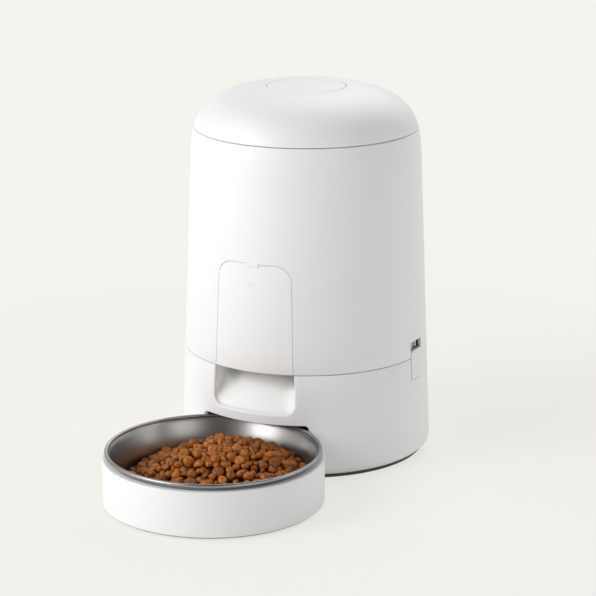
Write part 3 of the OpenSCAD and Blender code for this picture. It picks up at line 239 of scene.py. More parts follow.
def arc(x: float, y: float, radius: float, start: float, end: float, steps: int = 8) -> list[Point]:
    """Points along an arc, its ends in degrees."""
    turns = [math.radians(start + (end - start) * i / steps) for i in range(steps + 1)]
    return [(x + radius * math.cos(t), y + radius * math.sin(t)) for t in turns]


def rounded(*corners: Sequence[float], steps: int = 8) -> list[Point]:
    """Outline with four rounded corners, anticlockwise from the one at the top right.

    Args:
        corners: Centre, radius and, where they differ, steps of each corner.
        steps: Steps in each of the other corners.

    Returns:
        Its points in order.
    """
    points: list[Point] = []
    for index, (x, y, radius, *own) in enumerate(corners):
        points += arc(x, y, radius, 90 * index, 90 * index + 90, own[0] if own else steps)
    return points


def split_long(outline: Sequence[Point], reach: float) -> list[Point]:
    """Splits the long sides of a closed outline.

    Args:
        outline: Its corners in order.
        reach: Longest side to keep whole.

    Returns:
        The corners with the new points between them.
    """
    result: list[Point] = []
    for index, (x, y) in enumerate(outline):
        next_x, next_y = outline[(index + 1) % len(outline)]
        parts = max(1, math.ceil(math.hypot(next_x - x, next_y - y) / reach))
        result += [(x + (next_x - x) * i / parts, y + (next_y - y) * i / parts) for i in range(parts)]
    return result


def as_mesh(name: str, mesh: Mesh) -> bpy.types.Object:
    """Writes a mesh of millimetres to a linked object of metres."""
    data = bpy.data.meshes.new(name)
    mesh.to_mesh(data)
    mesh.free()
    data.transform(Matrix.Scale(MM, 4))
    made = bpy.data.objects.new(name, data)
    bpy.context.scene.collection.objects.link(made)
    return made


def smooth(thing: bpy.types.Object) -> None:
    """Shades every face of an object smoothly."""
    thing.data.polygons.foreach_set("use_smooth", [True] * len(thing.data.polygons))


def join(*meshes: Mesh) -> Mesh:
    """Puts several meshes into the first."""
    whole = meshes[0]
    for other in meshes[1:]:
        data = bpy.data.meshes.new("part")
        other.to_mesh(data)
        other.free()
        whole.from_mesh(data)
        bpy.data.meshes.remove(data)
    return whole


class Cut(Enum):
    """How one solid acts on another."""

    AWAY = "DIFFERENCE"
    COMMON = "INTERSECT"


def carve(body: Mesh, cutters: Sequence[Mesh], how: Cut = Cut.AWAY) -> Mesh:
    """Cuts closed solids from another, or keeps what they have in common.

    Args:
        body: The solid to change.
        cutters: The solids that act on it in turn.
        how: What they do.

    Returns:
        The new solid; the given meshes are used up.
    """
    target = as_mesh("carved", body)
    helpers = []
    for index, cutter in enumerate(cutters):
        helper = as_mesh(f"cutter_{index}", cutter)
        step = target.modifiers.new(f"cut_{index}", "BOOLEAN")
        step.operation = how.value
        step.solver = "EXACT"
        step.object = helper
        helpers.append(helper)
    bpy.context.view_layer.update()
    graph = bpy.context.evaluated_depsgraph_get()
    data = bpy.data.meshes.new_from_object(target.evaluated_get(graph))
    data.transform(Matrix.Scale(1 / MM, 4))
    result = bmesh.new()
    result.from_mesh(data)
    for spare in [target, *helpers]:
        old = spare.data
        bpy.data.objects.remove(spare)
        bpy.data.meshes.remove(old)
    bpy.data.meshes.remove(data)
    bmesh.ops.dissolve_degenerate(result, edges=result.edges[:], dist=ONE_POINT)
    return result


def finish_piece(
    name: str,
    mesh: Mesh,
    material: bpy.types.Material,
    body: str,
    nodes: Sequence[str] = (),
    shading: Shading = Shading.CREASED,
) -> bpy.types.Object:
    """Turns a mesh into a piece of the feeder.

    Args:
        name: The piece's name.
        mesh: Its mesh, in millimetres.
        material: Its finish.
        body: The moving body that carries it.
        nodes: CAD nodes it stands for.
        shading: How its faces are shaded.

    Returns:
        The piece.
    """
    piece = as_mesh(name, mesh)
    smooth(piece)
    if shading is Shading.CREASED:
        piece.data.set_sharp_from_angle(angle=math.radians(shading.value))
    piece.data.materials.append(material)
    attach(piece, body)
    if nodes:
        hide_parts(*nodes)
    LOG.info("piece %s: %d faces on %s", name, len(piece.data.polygons), body)
    return piece


# ---- finishes


def linear(colour: str, share: float = 1.0) -> tuple[float, float, float, float]:
    """Turns an sRGB hex colour to linear light.

    Args:
        colour: Six hex digits after a hash.
        share: How much of its light is kept.

    Returns:
        Red, green, blue and an alpha of 1.
    """
    parts = [int(colour[i : i + 2], 16) / 255 for i in (1, 3, 5)]
    light = [c / 12.92 if c <= 0.04045 else ((c + 0.055) / 1.055) ** 2.4 for c in parts]
    return light[0] * share, light[1] * share, light[2] * share, 1.0


def scale_of(size: float) -> float:
    """Scale of a pattern whose features are about so many millimetres wide."""
    return 1 / (size * MM)


def add_node(tree: Tree, kind: str, inputs: dict[Any, Any] | None = None, **settings: Any) -> Any:
    """Adds one node.

    Args:
        tree: The node tree it goes into.
        kind: The node's type, without the ShaderNode in front.
        inputs: Value or linked socket of each of its inputs.
        settings: Its properties.

    Returns:
        The node.
    """
    made = tree.nodes.new(f"ShaderNode{kind}")
    for key, value in settings.items():
        setattr(made, key, value)
    for key, value in (inputs or {}).items():
        if isinstance(value, bpy.types.NodeSocket):
            tree.links.new(value, made.inputs[key])
        else:
            made.inputs[key].default_value = value
    return made


def empty_tree(owner: bpy.types.Material | bpy.types.World) -> Tree:
    """Turns on the nodes of a material or a world and clears them."""
    owner.use_nodes = True
    owner.node_tree.nodes.clear()
    return owner.node_tree


def start_material(name: str, **constants: float) -> tuple[bpy.types.Material, Tree, Any, Any]:
    """Makes a material with its shader.

    Args:
        name: Its name.
        constants: Fixed inputs of its shader, with an underscore for each space.

    Returns:
        The material, its tree, its shader and its object coordinates.
    """
    made = bpy.data.materials.new(name)
    tree = empty_tree(made)
    inputs = {key.replace("_", " "): value for key, value in constants.items()}
    shader = add_node(tree, "BsdfPrincipled", inputs)
    add_node(tree, "OutputMaterial", {"Surface": shader.outputs["BSDF"]})
    return made, tree, shader, add_node(tree, "TexCoord").outputs["Object"]


def link_tone(tree: Tree, shader: Any, tone: Any, dark: Sequence[float], pale: Sequence[float]) -> None:
    """Lets a pattern shift a shader's colour between two.

    Args:
        tree: The material's tree.
        shader: Its shader.
        tone: Output of the pattern.
        dark: Colour where the pattern is 0.
        pale: Colour where it is 1.
    """
    blend = add_node(tree, "Mix", {"Factor": tone, "A": dark, "B": pale}, data_type="RGBA")
    tree.links.new(blend.outputs["Result"], shader.inputs["Base Color"])


def link_relief(
    tree: Tree, shader: Any, grain: Any, rough: tuple[float, float], strength: float, depth: float
) -> None:
    """Lets a pattern drive a shader's roughness and relief.

    Args:
        tree: The material's tree.
        shader: Its shader.
        grain: Output of the pattern.
        rough: Roughness where the pattern is 0 and where it is 1.
        strength: How strongly the relief shows.
        depth: Its depth in millimetres.
    """
    spread = add_node(tree, "MapRange", {"Value": grain, "To Min": rough[0], "To Max": rough[1]})
    tree.links.new(spread.outputs["Result"], shader.inputs["Roughness"])
    bump = add_node(tree, "Bump", {"Height": grain, "Strength": strength, "Distance": depth * MM})
    tree.links.new(bump.outputs["Normal"], shader.inputs["Normal"])


@dataclass(frozen=True)
class MouldedPlastic:
    """Injection-moulded plastic: an even colour with a fine spark-eroded or polished skin.

    A real eroded skin has pits of 0.02 to 0.05 mm, too fine to show, so grain_mm draws them coarser.
    """

    name: str
    colour: str
    roughness: float
    grain_mm: float = 0.5
    grain_depth: float = 0.12
    patch: float = 0.03
    ior: float = 1.49
    coat: float = 0.0
    patch_mm: float = 111.11
    spread: float = 0.04

    def build(self) -> bpy.types.Material:
        """Makes the material: broad patches tint it, and the grain breaks up its shine."""
        made, tree, shader, where = start_material(
            self.name, IOR=self.ior, Coat_Weight=self.coat, Coat_Roughness=0.12
        )
        flow = add_node(
            tree, "TexNoise",
            {"Vector": where, "Scale": scale_of(self.patch_mm), "Detail": 2.0, "Roughness": 0.5},
        )
        dim = linear(self.colour, 1 - self.patch)
        link_tone(tree, shader, flow.outputs["Fac"], dim, linear(self.colour))
        grain = add_node(
            tree, "TexNoise",
            {"Vector": where, "Scale": scale_of(2 * self.grain_mm), "Detail": 2.0, "Roughness": 0.55},
        )
        rough = (self.roughness - self.spread, self.roughness + self.spread)
        link_relief(tree, shader, grain.outputs["Fac"], rough, self.grain_depth, 0.05)
        return made


@dataclass(frozen=True)
class Rubber:
    """Rubber or silicone: soft, matt, with a faint dusty sheen."""

    name: str
    colour: str
    roughness: float = 0.75
    dust_mm: float = 1.1111
    spread: float = 0.08

    def build(self) -> bpy.types.Material:
        """Makes the material with a low sheen and a powdery grain, drawn coarser than real dust to show."""
        made, tree, shader, where = start_material(
            self.name, IOR=1.52, Sheen_Weight=0.15, Sheen_Roughness=0.5
        )
        dust = add_node(tree, "TexNoise", {"Vector": where, "Scale": scale_of(self.dust_mm), "Detail": 3.0})
        link_tone(tree, shader, dust.outputs["Fac"], linear(self.colour, 0.85), linear(self.colour))
        rough = (self.roughness - self.spread, self.roughness + self.spread)
        link_relief(tree, shader, dust.outputs["Fac"], rough, 0.2, 0.1)
        return made


class Lay(Enum):
    """Which way the lines of a worked metal run."""

    ROUND = "round an upright axis"
    NONE = "no lines"


@dataclass(frozen=True)
class WorkedMetal:
    """Metal with what its working left: the fine lines of a lathe or a brush, or an even plated skin.

    Real polishing lines are about 0.05 mm apart, too fine to show, so line_mm draws them coarser.
    """

    name: str
    colour: str
    roughness: float
    lay: Lay = Lay.NONE
    axis_at: Point = (0.0, 0.0)
    line_mm: float = 0.6
    line_depth: float = 0.25
    anisotropic: float = 0.0
    patch_mm: float = 16.667
    spread: float = 0.07

    def round_lay(self, tree: Tree, where: Any) -> Any:
        """Bends the coordinates round the axis, so that a pattern turns to long lines.

        Args:
            tree: The material's tree.
            where: Its object coordinates.

        Returns:
            The bent coordinates.
        """
        centred = add_node(
            tree, "VectorMath",
            {0: where, 1: (self.axis_at[0] * MM, self.axis_at[1] * MM, 0.0)}, operation="SUBTRACT",
        )
        split = add_node(tree, "SeparateXYZ", {"Vector": centred.outputs["Vector"]})
        x, y, z = split.outputs["X"], split.outputs["Y"], split.outputs["Z"]
        flat = add_node(tree, "CombineXYZ", {"X": x, "Y": y, "Z": 0.0})
        radius = add_node(tree, "VectorMath", {0: flat.outputs["Vector"]}, operation="LENGTH")
        heading = add_node(tree, "Math", {0: y, 1: x}, operation="ARCTAN2")
        # A radian of heading counts as 3 mm, so that each line runs a long way round
        along = add_node(tree, "Math", {0: heading.outputs["Value"], 1: 3 * MM}, operation="MULTIPLY")
        bent = add_node(
            tree, "CombineXYZ", {"X": radius.outputs["Value"], "Y": along.outputs["Value"], "Z": z}
        )
        return bent.outputs["Vector"]

    def build(self) -> bpy.types.Material:
        """Makes the material; the IOR stays at its default, as for every metal here."""
        made, tree, shader, where = start_material(self.name, Metallic=1.0, Anisotropic=self.anisotropic)
        if self.lay is Lay.ROUND:
            where = self.round_lay(tree, where)
        lines = add_node(
            tree, "TexNoise",
            {"Vector": where, "Scale": scale_of(self.line_mm), "Detail": 3.0, "Roughness": 0.6},
        )
        broad = add_node(
            tree, "TexNoise", {"Vector": where, "Scale": scale_of(self.patch_mm), "Detail": 2.0}
        )
        rough = (self.roughness - self.spread, self.roughness + self.spread)
        link_relief(tree, shader, lines.outputs["Fac"], rough, self.line_depth, 0.04)
        link_tone(tree, shader, broad.outputs["Fac"], linear(self.colour, 0.88), linear(self.colour))
        return made


@dataclass(frozen=True)
class CircuitBoard:
    """Glass-fibre board under solder mask, with the faint relief of its tracks."""

    name: str
    colour: str
    pair_mm: float = 4.5455

    def build(self) -> bpy.types.Material:
        """Makes the material with thin tracks; two of the fields between them span pair_mm."""
        made, tree, shader, where = start_material(self.name, IOR=1.52, Roughness=0.32)
        tracks = add_node(
            tree, "TexBrick",
            {"Vector": where, "Scale": scale_of(self.pair_mm), "Mortar Size": 0.03,
             "Color1": linear(self.colour), "Color2": linear(self.colour, 0.8),
             "Mortar": linear(self.colour, 1.8)},
        )
        tree.links.new(tracks.outputs["Color"], shader.inputs["Base Color"])
        bump = add_node(
            tree, "Bump", {"Height": tracks.outputs["Fac"], "Strength": 0.2, "Distance": 0.1 * MM}
        )
        tree.links.new(bump.outputs["Normal"], shader.inputs["Normal"])
        return made


@dataclass(frozen=True)
class BakedKibble:
    """Extruded and baked dry food: a brown crust with darker pits and a trace of fat."""

    name: str
    colour: str
    dark: str
    pit_mm: float = 1.9231
    crust: Point = (0.3, 0.72)
    paleness_and_shade: Point = (0.25, 1.3)
    # Brightness range for the per-nugget attribute; its low values include the painted shade of buried
    # nuggets
    rough: Point = (0.26, 0.48)

    def build(self) -> bpy.types.Material:
        """Makes the material; a per-nugget attribute says how pale each nugget came out, and it also darkens
        the nuggets that lie deep in the heap as painted shade.
        """
        made, tree, shader, where = start_material(self.name, IOR=1.4)
        pits = add_node(
            tree, "TexNoise",
            {"Vector": where, "Scale": scale_of(self.pit_mm), "Detail": 4.0, "Roughness": 0.6},
        ).outputs["Fac"]
        # Per-nugget attribute: random paleness of the bake, times painted shade on nuggets lying deep in the
        # heap
        bake_and_painted_shade = add_node(tree, "Attribute", attribute_name="bake_and_painted_shade")
        crust = add_node(
            tree, "MapRange", {"Value": pits, "From Min": self.crust[0], "From Max": self.crust[1]}
        )
        shade = add_node(
            tree, "Mix",
            {"Factor": crust.outputs["Result"], "A": linear(self.dark), "B": linear(self.colour)},
            data_type="RGBA",
        )
        value = add_node(
            tree, "MapRange",
            {"Value": bake_and_painted_shade.outputs["Fac"], "To Min": self.paleness_and_shade[0], "To Max": self.paleness_and_shade[1]},
        )
        tint = add_node(
            tree, "HueSaturation",
            {"Color": shade.outputs["Result"], "Saturation": 1.1, "Value": value.outputs["Result"]},
        )
        tree.links.new(tint.outputs["Color"], shader.inputs["Base Color"])
        link_relief(tree, shader, pits, self.rough, 0.75, 0.7)
        return made


class Palette:
    """Every finish of the feeder, built once."""

    def __init__(self) -> None:
        """Builds the materials."""
        # White ABS, moulded in a finely spark-eroded tool: bright, with a wide soft highlight
        self.shell = MouldedPlastic("white_abs_shell", "#F2F2F3", 0.46, 0.5, 0.10).build()
        # The same ABS from a polished tool: smoother, so the panel catches a little more light
        self.panel = MouldedPlastic("white_abs_panel", "#F4F4F4", 0.38, 0.8, 0.05).build()
        # Food-grade polypropylene with a waxy gloss; its white is made paler than the shell's so that the
        # outlet's ramp comes out brighter, which is painted light
        self.chute = MouldedPlastic("white_polypropylene_chute_painted_light", "#FAFAF9", 0.4, 1.2, 0.04).build()
        # Unpainted ABS of the inner frames: a duller white with visible grain
        self.inner = MouldedPlastic("white_abs_inner", "#E4E5E4", 0.5, 0.7, 0.15).build()
        # Polystyrene tank: glossy from a polished tool
        self.tank = MouldedPlastic(
            "grey_white_polystyrene_tank", "#DFE1E1", 0.22, 2.0, 0.05, ior=1.59
        ).build()
        # Polypropylene wheel: light grey, satin, with a moulded grain
        self.wheel = MouldedPlastic("light_grey_polypropylene_wheel", "#C9CCCE", 0.42, 0.8, 0.12).build()
        # Acetal: off-white and slippery, with a low gloss
        self.gear = MouldedPlastic("natural_acetal_gear", "#E9E6DA", 0.3, 1.0, 0.05, ior=1.48).build()
        # Charcoal ABS with a coarse matt texture
        self.charcoal = MouldedPlastic("charcoal_abs", "#2B2C2E", 0.55, 0.6, 0.3).build()
        # Battery sleeve: glossy shrink film
        self.sleeve = MouldedPlastic("blue_pvc_sleeve", "#2F4C73", 0.2, 3.0, 0.05, coat=0.4).build()
        # Acrylic light guide: smooth and milky while its light is off
        self.lens = MouldedPlastic("milky_acrylic_lens", "#F7F7F6", 0.2, 2.0, 0.02).build()
        # Rubber feet: dark and matt
        self.pad = Rubber("dark_rubber_foot", "#3A3B3D").build()
        # Silicone seal, agitator and the tray's foot ring: grey, with a softer shine than rubber; on the
        # foot ring the grey is painted shade at the tray's foot
        self.silicone = Rubber("grey_silicone", "#9B9EA0", 0.55).build()
        # Stainless bowl, spun and satin polished round its axis: soft reflections, faint round lines
        self.bowl = WorkedMetal(
            "satin_stainless_bowl", "#A6A5A4", 0.33, Lay.ROUND, (0.0, BOWL_Y), 0.45, 0.06, 0.3
        ).build()
        # Screws, motor can and spring: zinc-plated steel, pale grey and satin
        self.zinc = WorkedMetal("zinc_plated_steel", "#B9BBBD", 0.32).build()
        # Hinge pins and axle: ground steel, smoother and brighter
        self.ground = WorkedMetal("ground_steel_pin", "#C2C3C5", 0.22).build()
        # Battery contacts and the socket's shell: nickel plate, slightly warm and glossy
        self.nickel = WorkedMetal("nickel_plated_contact", "#CFCBC2", 0.18).build()
        # Motor pinion and bush: turned brass, yellow with a fine shine
        self.brass = WorkedMetal("turned_brass", "#D2A85A", 0.26).build()
        # Boards: green solder mask over glass fibre
        self.board = CircuitBoard("green_circuit_board", "#1F5B39").build()
        # Baked kibble: warm brown, a little fatty
        self.kibble = BakedKibble("baked_kibble", "#D08A54", "#7A401C").build()


# ---- the outer skin


@dataclass
class Skin:
    """The body's outer surface: a slightly tapered wall that turns into a squarish dome."""

    body_radius: float = 90.0
    widest_z: float = 20.0
    slope: float = math.tan(math.radians(2.23))
    dome_z: float = 217.0
    dome_height: float = 48.0
    side_power: float = 2.9
    crown_power: float = 3.6

    def wall_radius(self, z: float) -> float:
        """Radius of the straight wall at height z."""
        return self.body_radius - (z - self.widest_z) * self.slope

    def front(self, x: float, z: float, deep: float) -> tuple[float, float, float]:
        """Point on the straight wall's front, some way behind the surface.

        Args:
            x: Its place across.
            z: Its height.
            deep: Distance behind the skin.

        Returns:
            The point.
        """
        return x, -math.sqrt((self.wall_radius(z) - deep) ** 2 - x * x), z

    def radius(self, z: float, inset: float = 0.0) -> float:
        """Radius of the skin, or of a surface set in from it.

        Args:
            z: Height.
            inset: Distance inside the outer skin.

        Returns:
            The radius at that height.
        """
        rise = min(1.0, max(0.0, (z - self.dome_z) / (self.dome_height - inset)))
        return (self.wall_radius(z) - inset) * (1 - rise**self.side_power) ** (1 / self.crown_power)

    def path(self, low: float, high: float, inset: float = 0.0, steps: int = 48) -> list[Point]:
        """Profile of the skin between two heights.

        Args:
            low: Lower height.
            high: Upper height.
            inset: Distance inside the outer skin.
            steps: Steps over the whole dome.

        Returns:
            Radius and height of each point, upwards.
        """
        tall = self.dome_height - inset
        start = math.asin(min(1.0, max(0.0, (low - self.dome_z) / tall)))
        end = math.asin(min(1.0, max(0.0, (high - self.dome_z) / tall)))
        points = []
        if low < self.dome_z:
            rows = max(2, round((min(high, self.dome_z) - low) / 12))
            top = min(high, self.dome_z)
            points += [
                (self.radius(z, inset), z) for z in (low + (top - low) * i / rows for i in range(rows + 1))
            ]
        if high > self.dome_z:
            count = max(2, round(steps * (end - start) / (math.pi / 2)))
            turns = [start + (end - start) * i / count for i in range(count + 1)]
            heights = [self.dome_z + tall * math.sin(t) for t in turns]
            points += [(self.radius(z, inset), z) for z in (heights[1:] if low < self.dome_z else heights)]
        return points

    def band(
        self, low: float, high: float, outer: float, inner: float, edge: float = 0.0, steps: int = 192
    ) -> Mesh:
        """Shell between two surfaces set in from the skin.

        Args:
            low: Its lower edge.
            high: Its upper edge.
            outer: Inset of its outside.
            inner: Inset of its inside.
            edge: Radius of its two outer edges.
            steps: Steps round the axis.

        Returns:
            The closed shell.
        """

        def corner(end: float, rise: float, turns: Sequence[float]) -> list[Point]:
            """Rounded edge that ends at a height, reached from the wall by rising or sinking."""
            start = end - rise
            return [(self.radius(start, outer) - edge * (1 - math.cos(t)), start + rise * math.sin(t))
                    for t in map(math.radians, turns)]

        outside = self.path(low + edge, high - edge, outer)
        if edge:
            outside = corner(low, -edge, (90, 60, 30)) + outside + corner(high, edge, (30, 60, 90))
        return revolve(outside + self.path(low, high, inner)[::-1], steps)


@dataclass
class FrontWindow:
    """Outline of the outlet and of the panel above it."""

    width: float = 61.0
    seam: float = 76.5
    top: float = 154.0
    bottom: float = 48.0
    slant: float = math.tan(math.radians(1.85))
    top_corner: float = 12.0
    bottom_corner: float = 7.0
    longest_side: float = 4.0

    def half(self, z: float) -> float:
        """Half the width at height z."""
        return self.width / 2 + (self.seam - z) * self.slant

    def outline(self, grow: float) -> list[Point]:
        """Outline in X and Z, grown outwards.

        Args:
            grow: How far it is grown.

        Returns:
            Its corners in order.
        """
        top, bottom = self.top + grow, self.bottom - grow
        top_r, bottom_r = self.top_corner + grow, self.bottom_corner + grow
        top_x = self.half(top - top_r) + grow - top_r
        bottom_x = self.half(bottom + bottom_r) + grow - bottom_r
        return rounded(
            (top_x, top - top_r, top_r), (-top_x, top - top_r, top_r),
            (-bottom_x, bottom + bottom_r, bottom_r), (bottom_x, bottom + bottom_r, bottom_r), steps=12,
        )

    def cutter(self, grow: float) -> Mesh:
        """The same outline as a solid that runs out through the front."""
        return place(prism(self.outline(grow), 90.0), shift(0, -30, 0), turn(90, "X"))

    def flared_cutter(self, skin: Skin, edge: float) -> Mesh:
        """The outline as a solid that widens to the skin, so that it leaves a rounded edge.

        Args:
            skin: The surface it cuts through.
            edge: Radius of the edge it leaves.

        Returns:
            The closed solid.
        """
        turns = [math.radians(a) for a in range(15, 91, 15)]
        steps = [(0.0, 30.0), (0.0, edge)]
        steps += [(edge * (1 - math.cos(t)), edge * (1 - math.sin(t))) for t in turns]
        steps += [(edge + 0.4, -6.0)]
        mesh = loft(
            [[skin.front(x, z, deep) for x, z in split_long(self.outline(grow), self.longest_side)]
             for grow, deep in steps],
            closed=True,
        )
        tidy(mesh)
        return mesh


def rear_window(half_w: float = 21.0, half_h: float = 13.0, corner: float = 4.0, z: float = 33.0) -> Mesh:
    """Rounded opening for the plate at the back, as a solid that runs out through the wall.

    Args:
        half_w: Half its width.
        half_h: Half its height.
        corner: Radius of its corners.
        z: Height of its middle.

    Returns:
        The closed solid.
    """
    x, y = half_w - corner, half_h - corner
    outline = rounded((x, y, corner), (-x, y, corner), (-x, -y, corner), (x, -y, corner))
    return place(prism(outline, 80.0), shift(0, 45, z), turn(-90, "X"))


@dataclass
class BodyShells:
    """The white outer shells of the base, the tank and the lid, and the round button."""

    palette: Palette
    skin: Skin = field(default_factory=Skin)
    window: FrontWindow = field(default_factory=FrontWindow)
    wall: float = 2.2
    seam_edge: float = 0.35
    outlet_edge: float = 1.7
    base_top: float = 76.2
    tank_bottom: float = 76.8
    tank_top: float = 235.6
    lid_bottom: float = 236.2
    body_height: float = 265.0
    foot_z: float = 3.4
    foot_round: float = 5.5
    foot_lip: float = 4.0
    latch_half: float = 8.75
    latch_z: Point = (59.8, 90.0)
    recess_z: Point = (60.0, 88.1)
    spigot_z: Point = (74.6, 79.0)
    spigot_wall: float = 2.0
    spigot_play: float = 0.4
    front_gap: float = 36.5
    latch_gap: float = 12.4
    gap_z: Point = (60.0, 90.0)
    alcove_radius: float = 77.3
    alcove_top: float = 40.5
    alcove_edge: float = 4.0
    button_radius: float = 28.0
    button_z: tuple[float, float, float] = (252.6, 254.6, 262.4)
    button_wall: float = 2.0
    hole_radius: float = 28.5
    hole_low: float = 251.0
    hole_wall: float = 1.6
    hole_edge: tuple[Point, ...] = ((0.6, 0.27), (0.15, 0.45), (0.0, 0.85))
    stem: tuple[float, float, float] = (8.5, 232.5, 262.6)
    skirt: tuple[Point, ...] = (
        (24, 240), (26, 240), (26, 252.6), (27.9, 252.6), (26, 254.6), (20, 246.6), (20, 244)
    )

    def foot_profile(self) -> list[Point]:
        """Profile of the base shell, from its rounded foot to the seam."""
        round_z = self.foot_z + self.foot_round
        round_x = self.skin.wall_radius(round_z) - self.foot_round
        top, edge = self.base_top, self.seam_edge
        outside = arc(round_x, round_z, self.foot_round, -90, 0, 10)
        outside += self.skin.path(round_z, top - edge)[1:]
        rim = self.skin.radius(top)
        outside += [(rim - edge * 0.3, top - edge * 0.3), (rim - edge, top)]
        inside = [(self.skin.radius(top, self.wall), top)]
        inside += arc(round_x, round_z, self.foot_round - self.wall, 0, -90, 6)
        lip = round_x - self.foot_lip
        return outside + inside + [(lip, self.foot_z + self.wall), (lip, self.foot_z)]

    @staticmethod
    def side_cutters(half: float, low: float, high: float) -> list[Mesh]:
        """Blocks that cut through the wall at both latches.

        Args:
            half: Half their width.
            low: Their lower end.
            high: Their upper end.

        Returns:
            One block for each side.
        """
        return [
            block((min(near, far), -half, low), (max(near, far), half, high))
            for near, far in ((CUT_IN, CUT_OUT), (-CUT_IN, -CUT_OUT))
        ]

    def alcove(self) -> Mesh:
        """Recess that the tray slides into."""
        top, edge = self.alcove_top, self.alcove_edge
        corner = arc(self.alcove_radius - edge, top - edge, edge, 0, 90, 6)
        solid = revolve([(0, -2), (self.alcove_radius, -2)] + corner + [(0, top)], 128, closed=False)
        return place(solid, shift(0, BOWL_Y, 0))

    def build(self) -> None:
        """Builds the shells and the button."""
        base = carve(
            revolve(self.foot_profile()),
            [
                self.window.flared_cutter(self.skin, self.outlet_edge), self.alcove(),
                *self.side_cutters(self.latch_half, *self.latch_z), rear_window(),
            ],
        )
        finish_piece("base_skin", base, self.palette.shell, "base", ["base_shell"])
        tank = carve(
            self.skin.band(self.tank_bottom, self.tank_top, 0, self.wall, self.seam_edge),
            [self.window.cutter(0), *self.side_cutters(self.latch_half, *self.recess_z)],
        )
        outer = self.skin.radius(self.base_top, self.wall) - self.spigot_play
        inner, (low, high) = outer - self.spigot_wall, self.spigot_z
        spigot = carve(
            revolve([(inner, low), (outer, low), (outer, high), (inner, high)]),
            [
                front_block(self.front_gap, *self.gap_z), *self.side_cutters(self.latch_gap, *self.gap_z),
            ],
        )
        tank = join(tank, spigot)
        finish_piece("tank_skin", tank, self.palette.shell, "tank", ["tank_shell"])
        self.build_lid()
        self.build_button()

    def build_lid(self) -> None:
        """Builds the lid's shell, with the hole that the button lies in."""
        low, hole, edge = self.lid_bottom, self.hole_radius, self.seam_edge
        rim = self.skin.radius(low)
        bottom = [(rim - edge, low), (rim - edge * 0.3, low + edge * 0.3)]
        dome = [p for p in self.skin.path(low + edge, self.body_height) if p[0] > hole + 1.2]
        mouth = [(hole + out, self.body_height - down) for out, down in self.hole_edge]
        mouth += [(hole, self.hole_low), (hole + self.hole_wall, self.hole_low)]
        inside = self.skin.path(low, self.body_height - self.wall, self.wall)
        inside = [p for p in inside if p[0] > hole + self.hole_wall]
        under = [(hole + self.hole_wall, inside[-1][1])]
        shell = revolve(bottom + dome + mouth + under + inside[::-1])
        finish_piece("lid_skin", shell, self.palette.shell, "lid", ["lid_shell"])

    def build_button(self) -> None:
        """Builds the round button, its stem and the skirt with its cam face."""
        r, (low, chamfer, ceiling) = self.button_radius, self.button_z
        spans = [(r - 0.6) * i / 12 for i in range(1, 13)]
        face = [(0.0, self.body_height)] + [(x, self.crown_height(x)) for x in spans]
        face += [(r - 0.15, self.crown_height(r) - 0.15), (r, self.crown_height(r) - 0.6), (r, low)]
        inside = [(r - self.button_wall, chamfer), (r - self.button_wall, ceiling), (0, ceiling)]
        button = revolve(face + inside, 128, closed=False)
        thick, foot, head = self.stem
        stem = revolve([(0, head), (thick, head), (thick, foot), (0, foot)], 64, closed=False)
        whole = join(button, stem, revolve(self.skirt, 96))
        finish_piece("crown_button", whole, self.palette.shell, "lid_button", ["lid_button"])

    def crown_height(self, x: float) -> float:
        """Height of the dome at distance x from its axis."""
        low, high = self.skin.dome_z, self.body_height
        for _ in range(40):
            middle = (low + high) / 2
            low, high = (middle, high) if self.skin.radius(middle) > x else (low, middle)
        return low


# ---- outlet


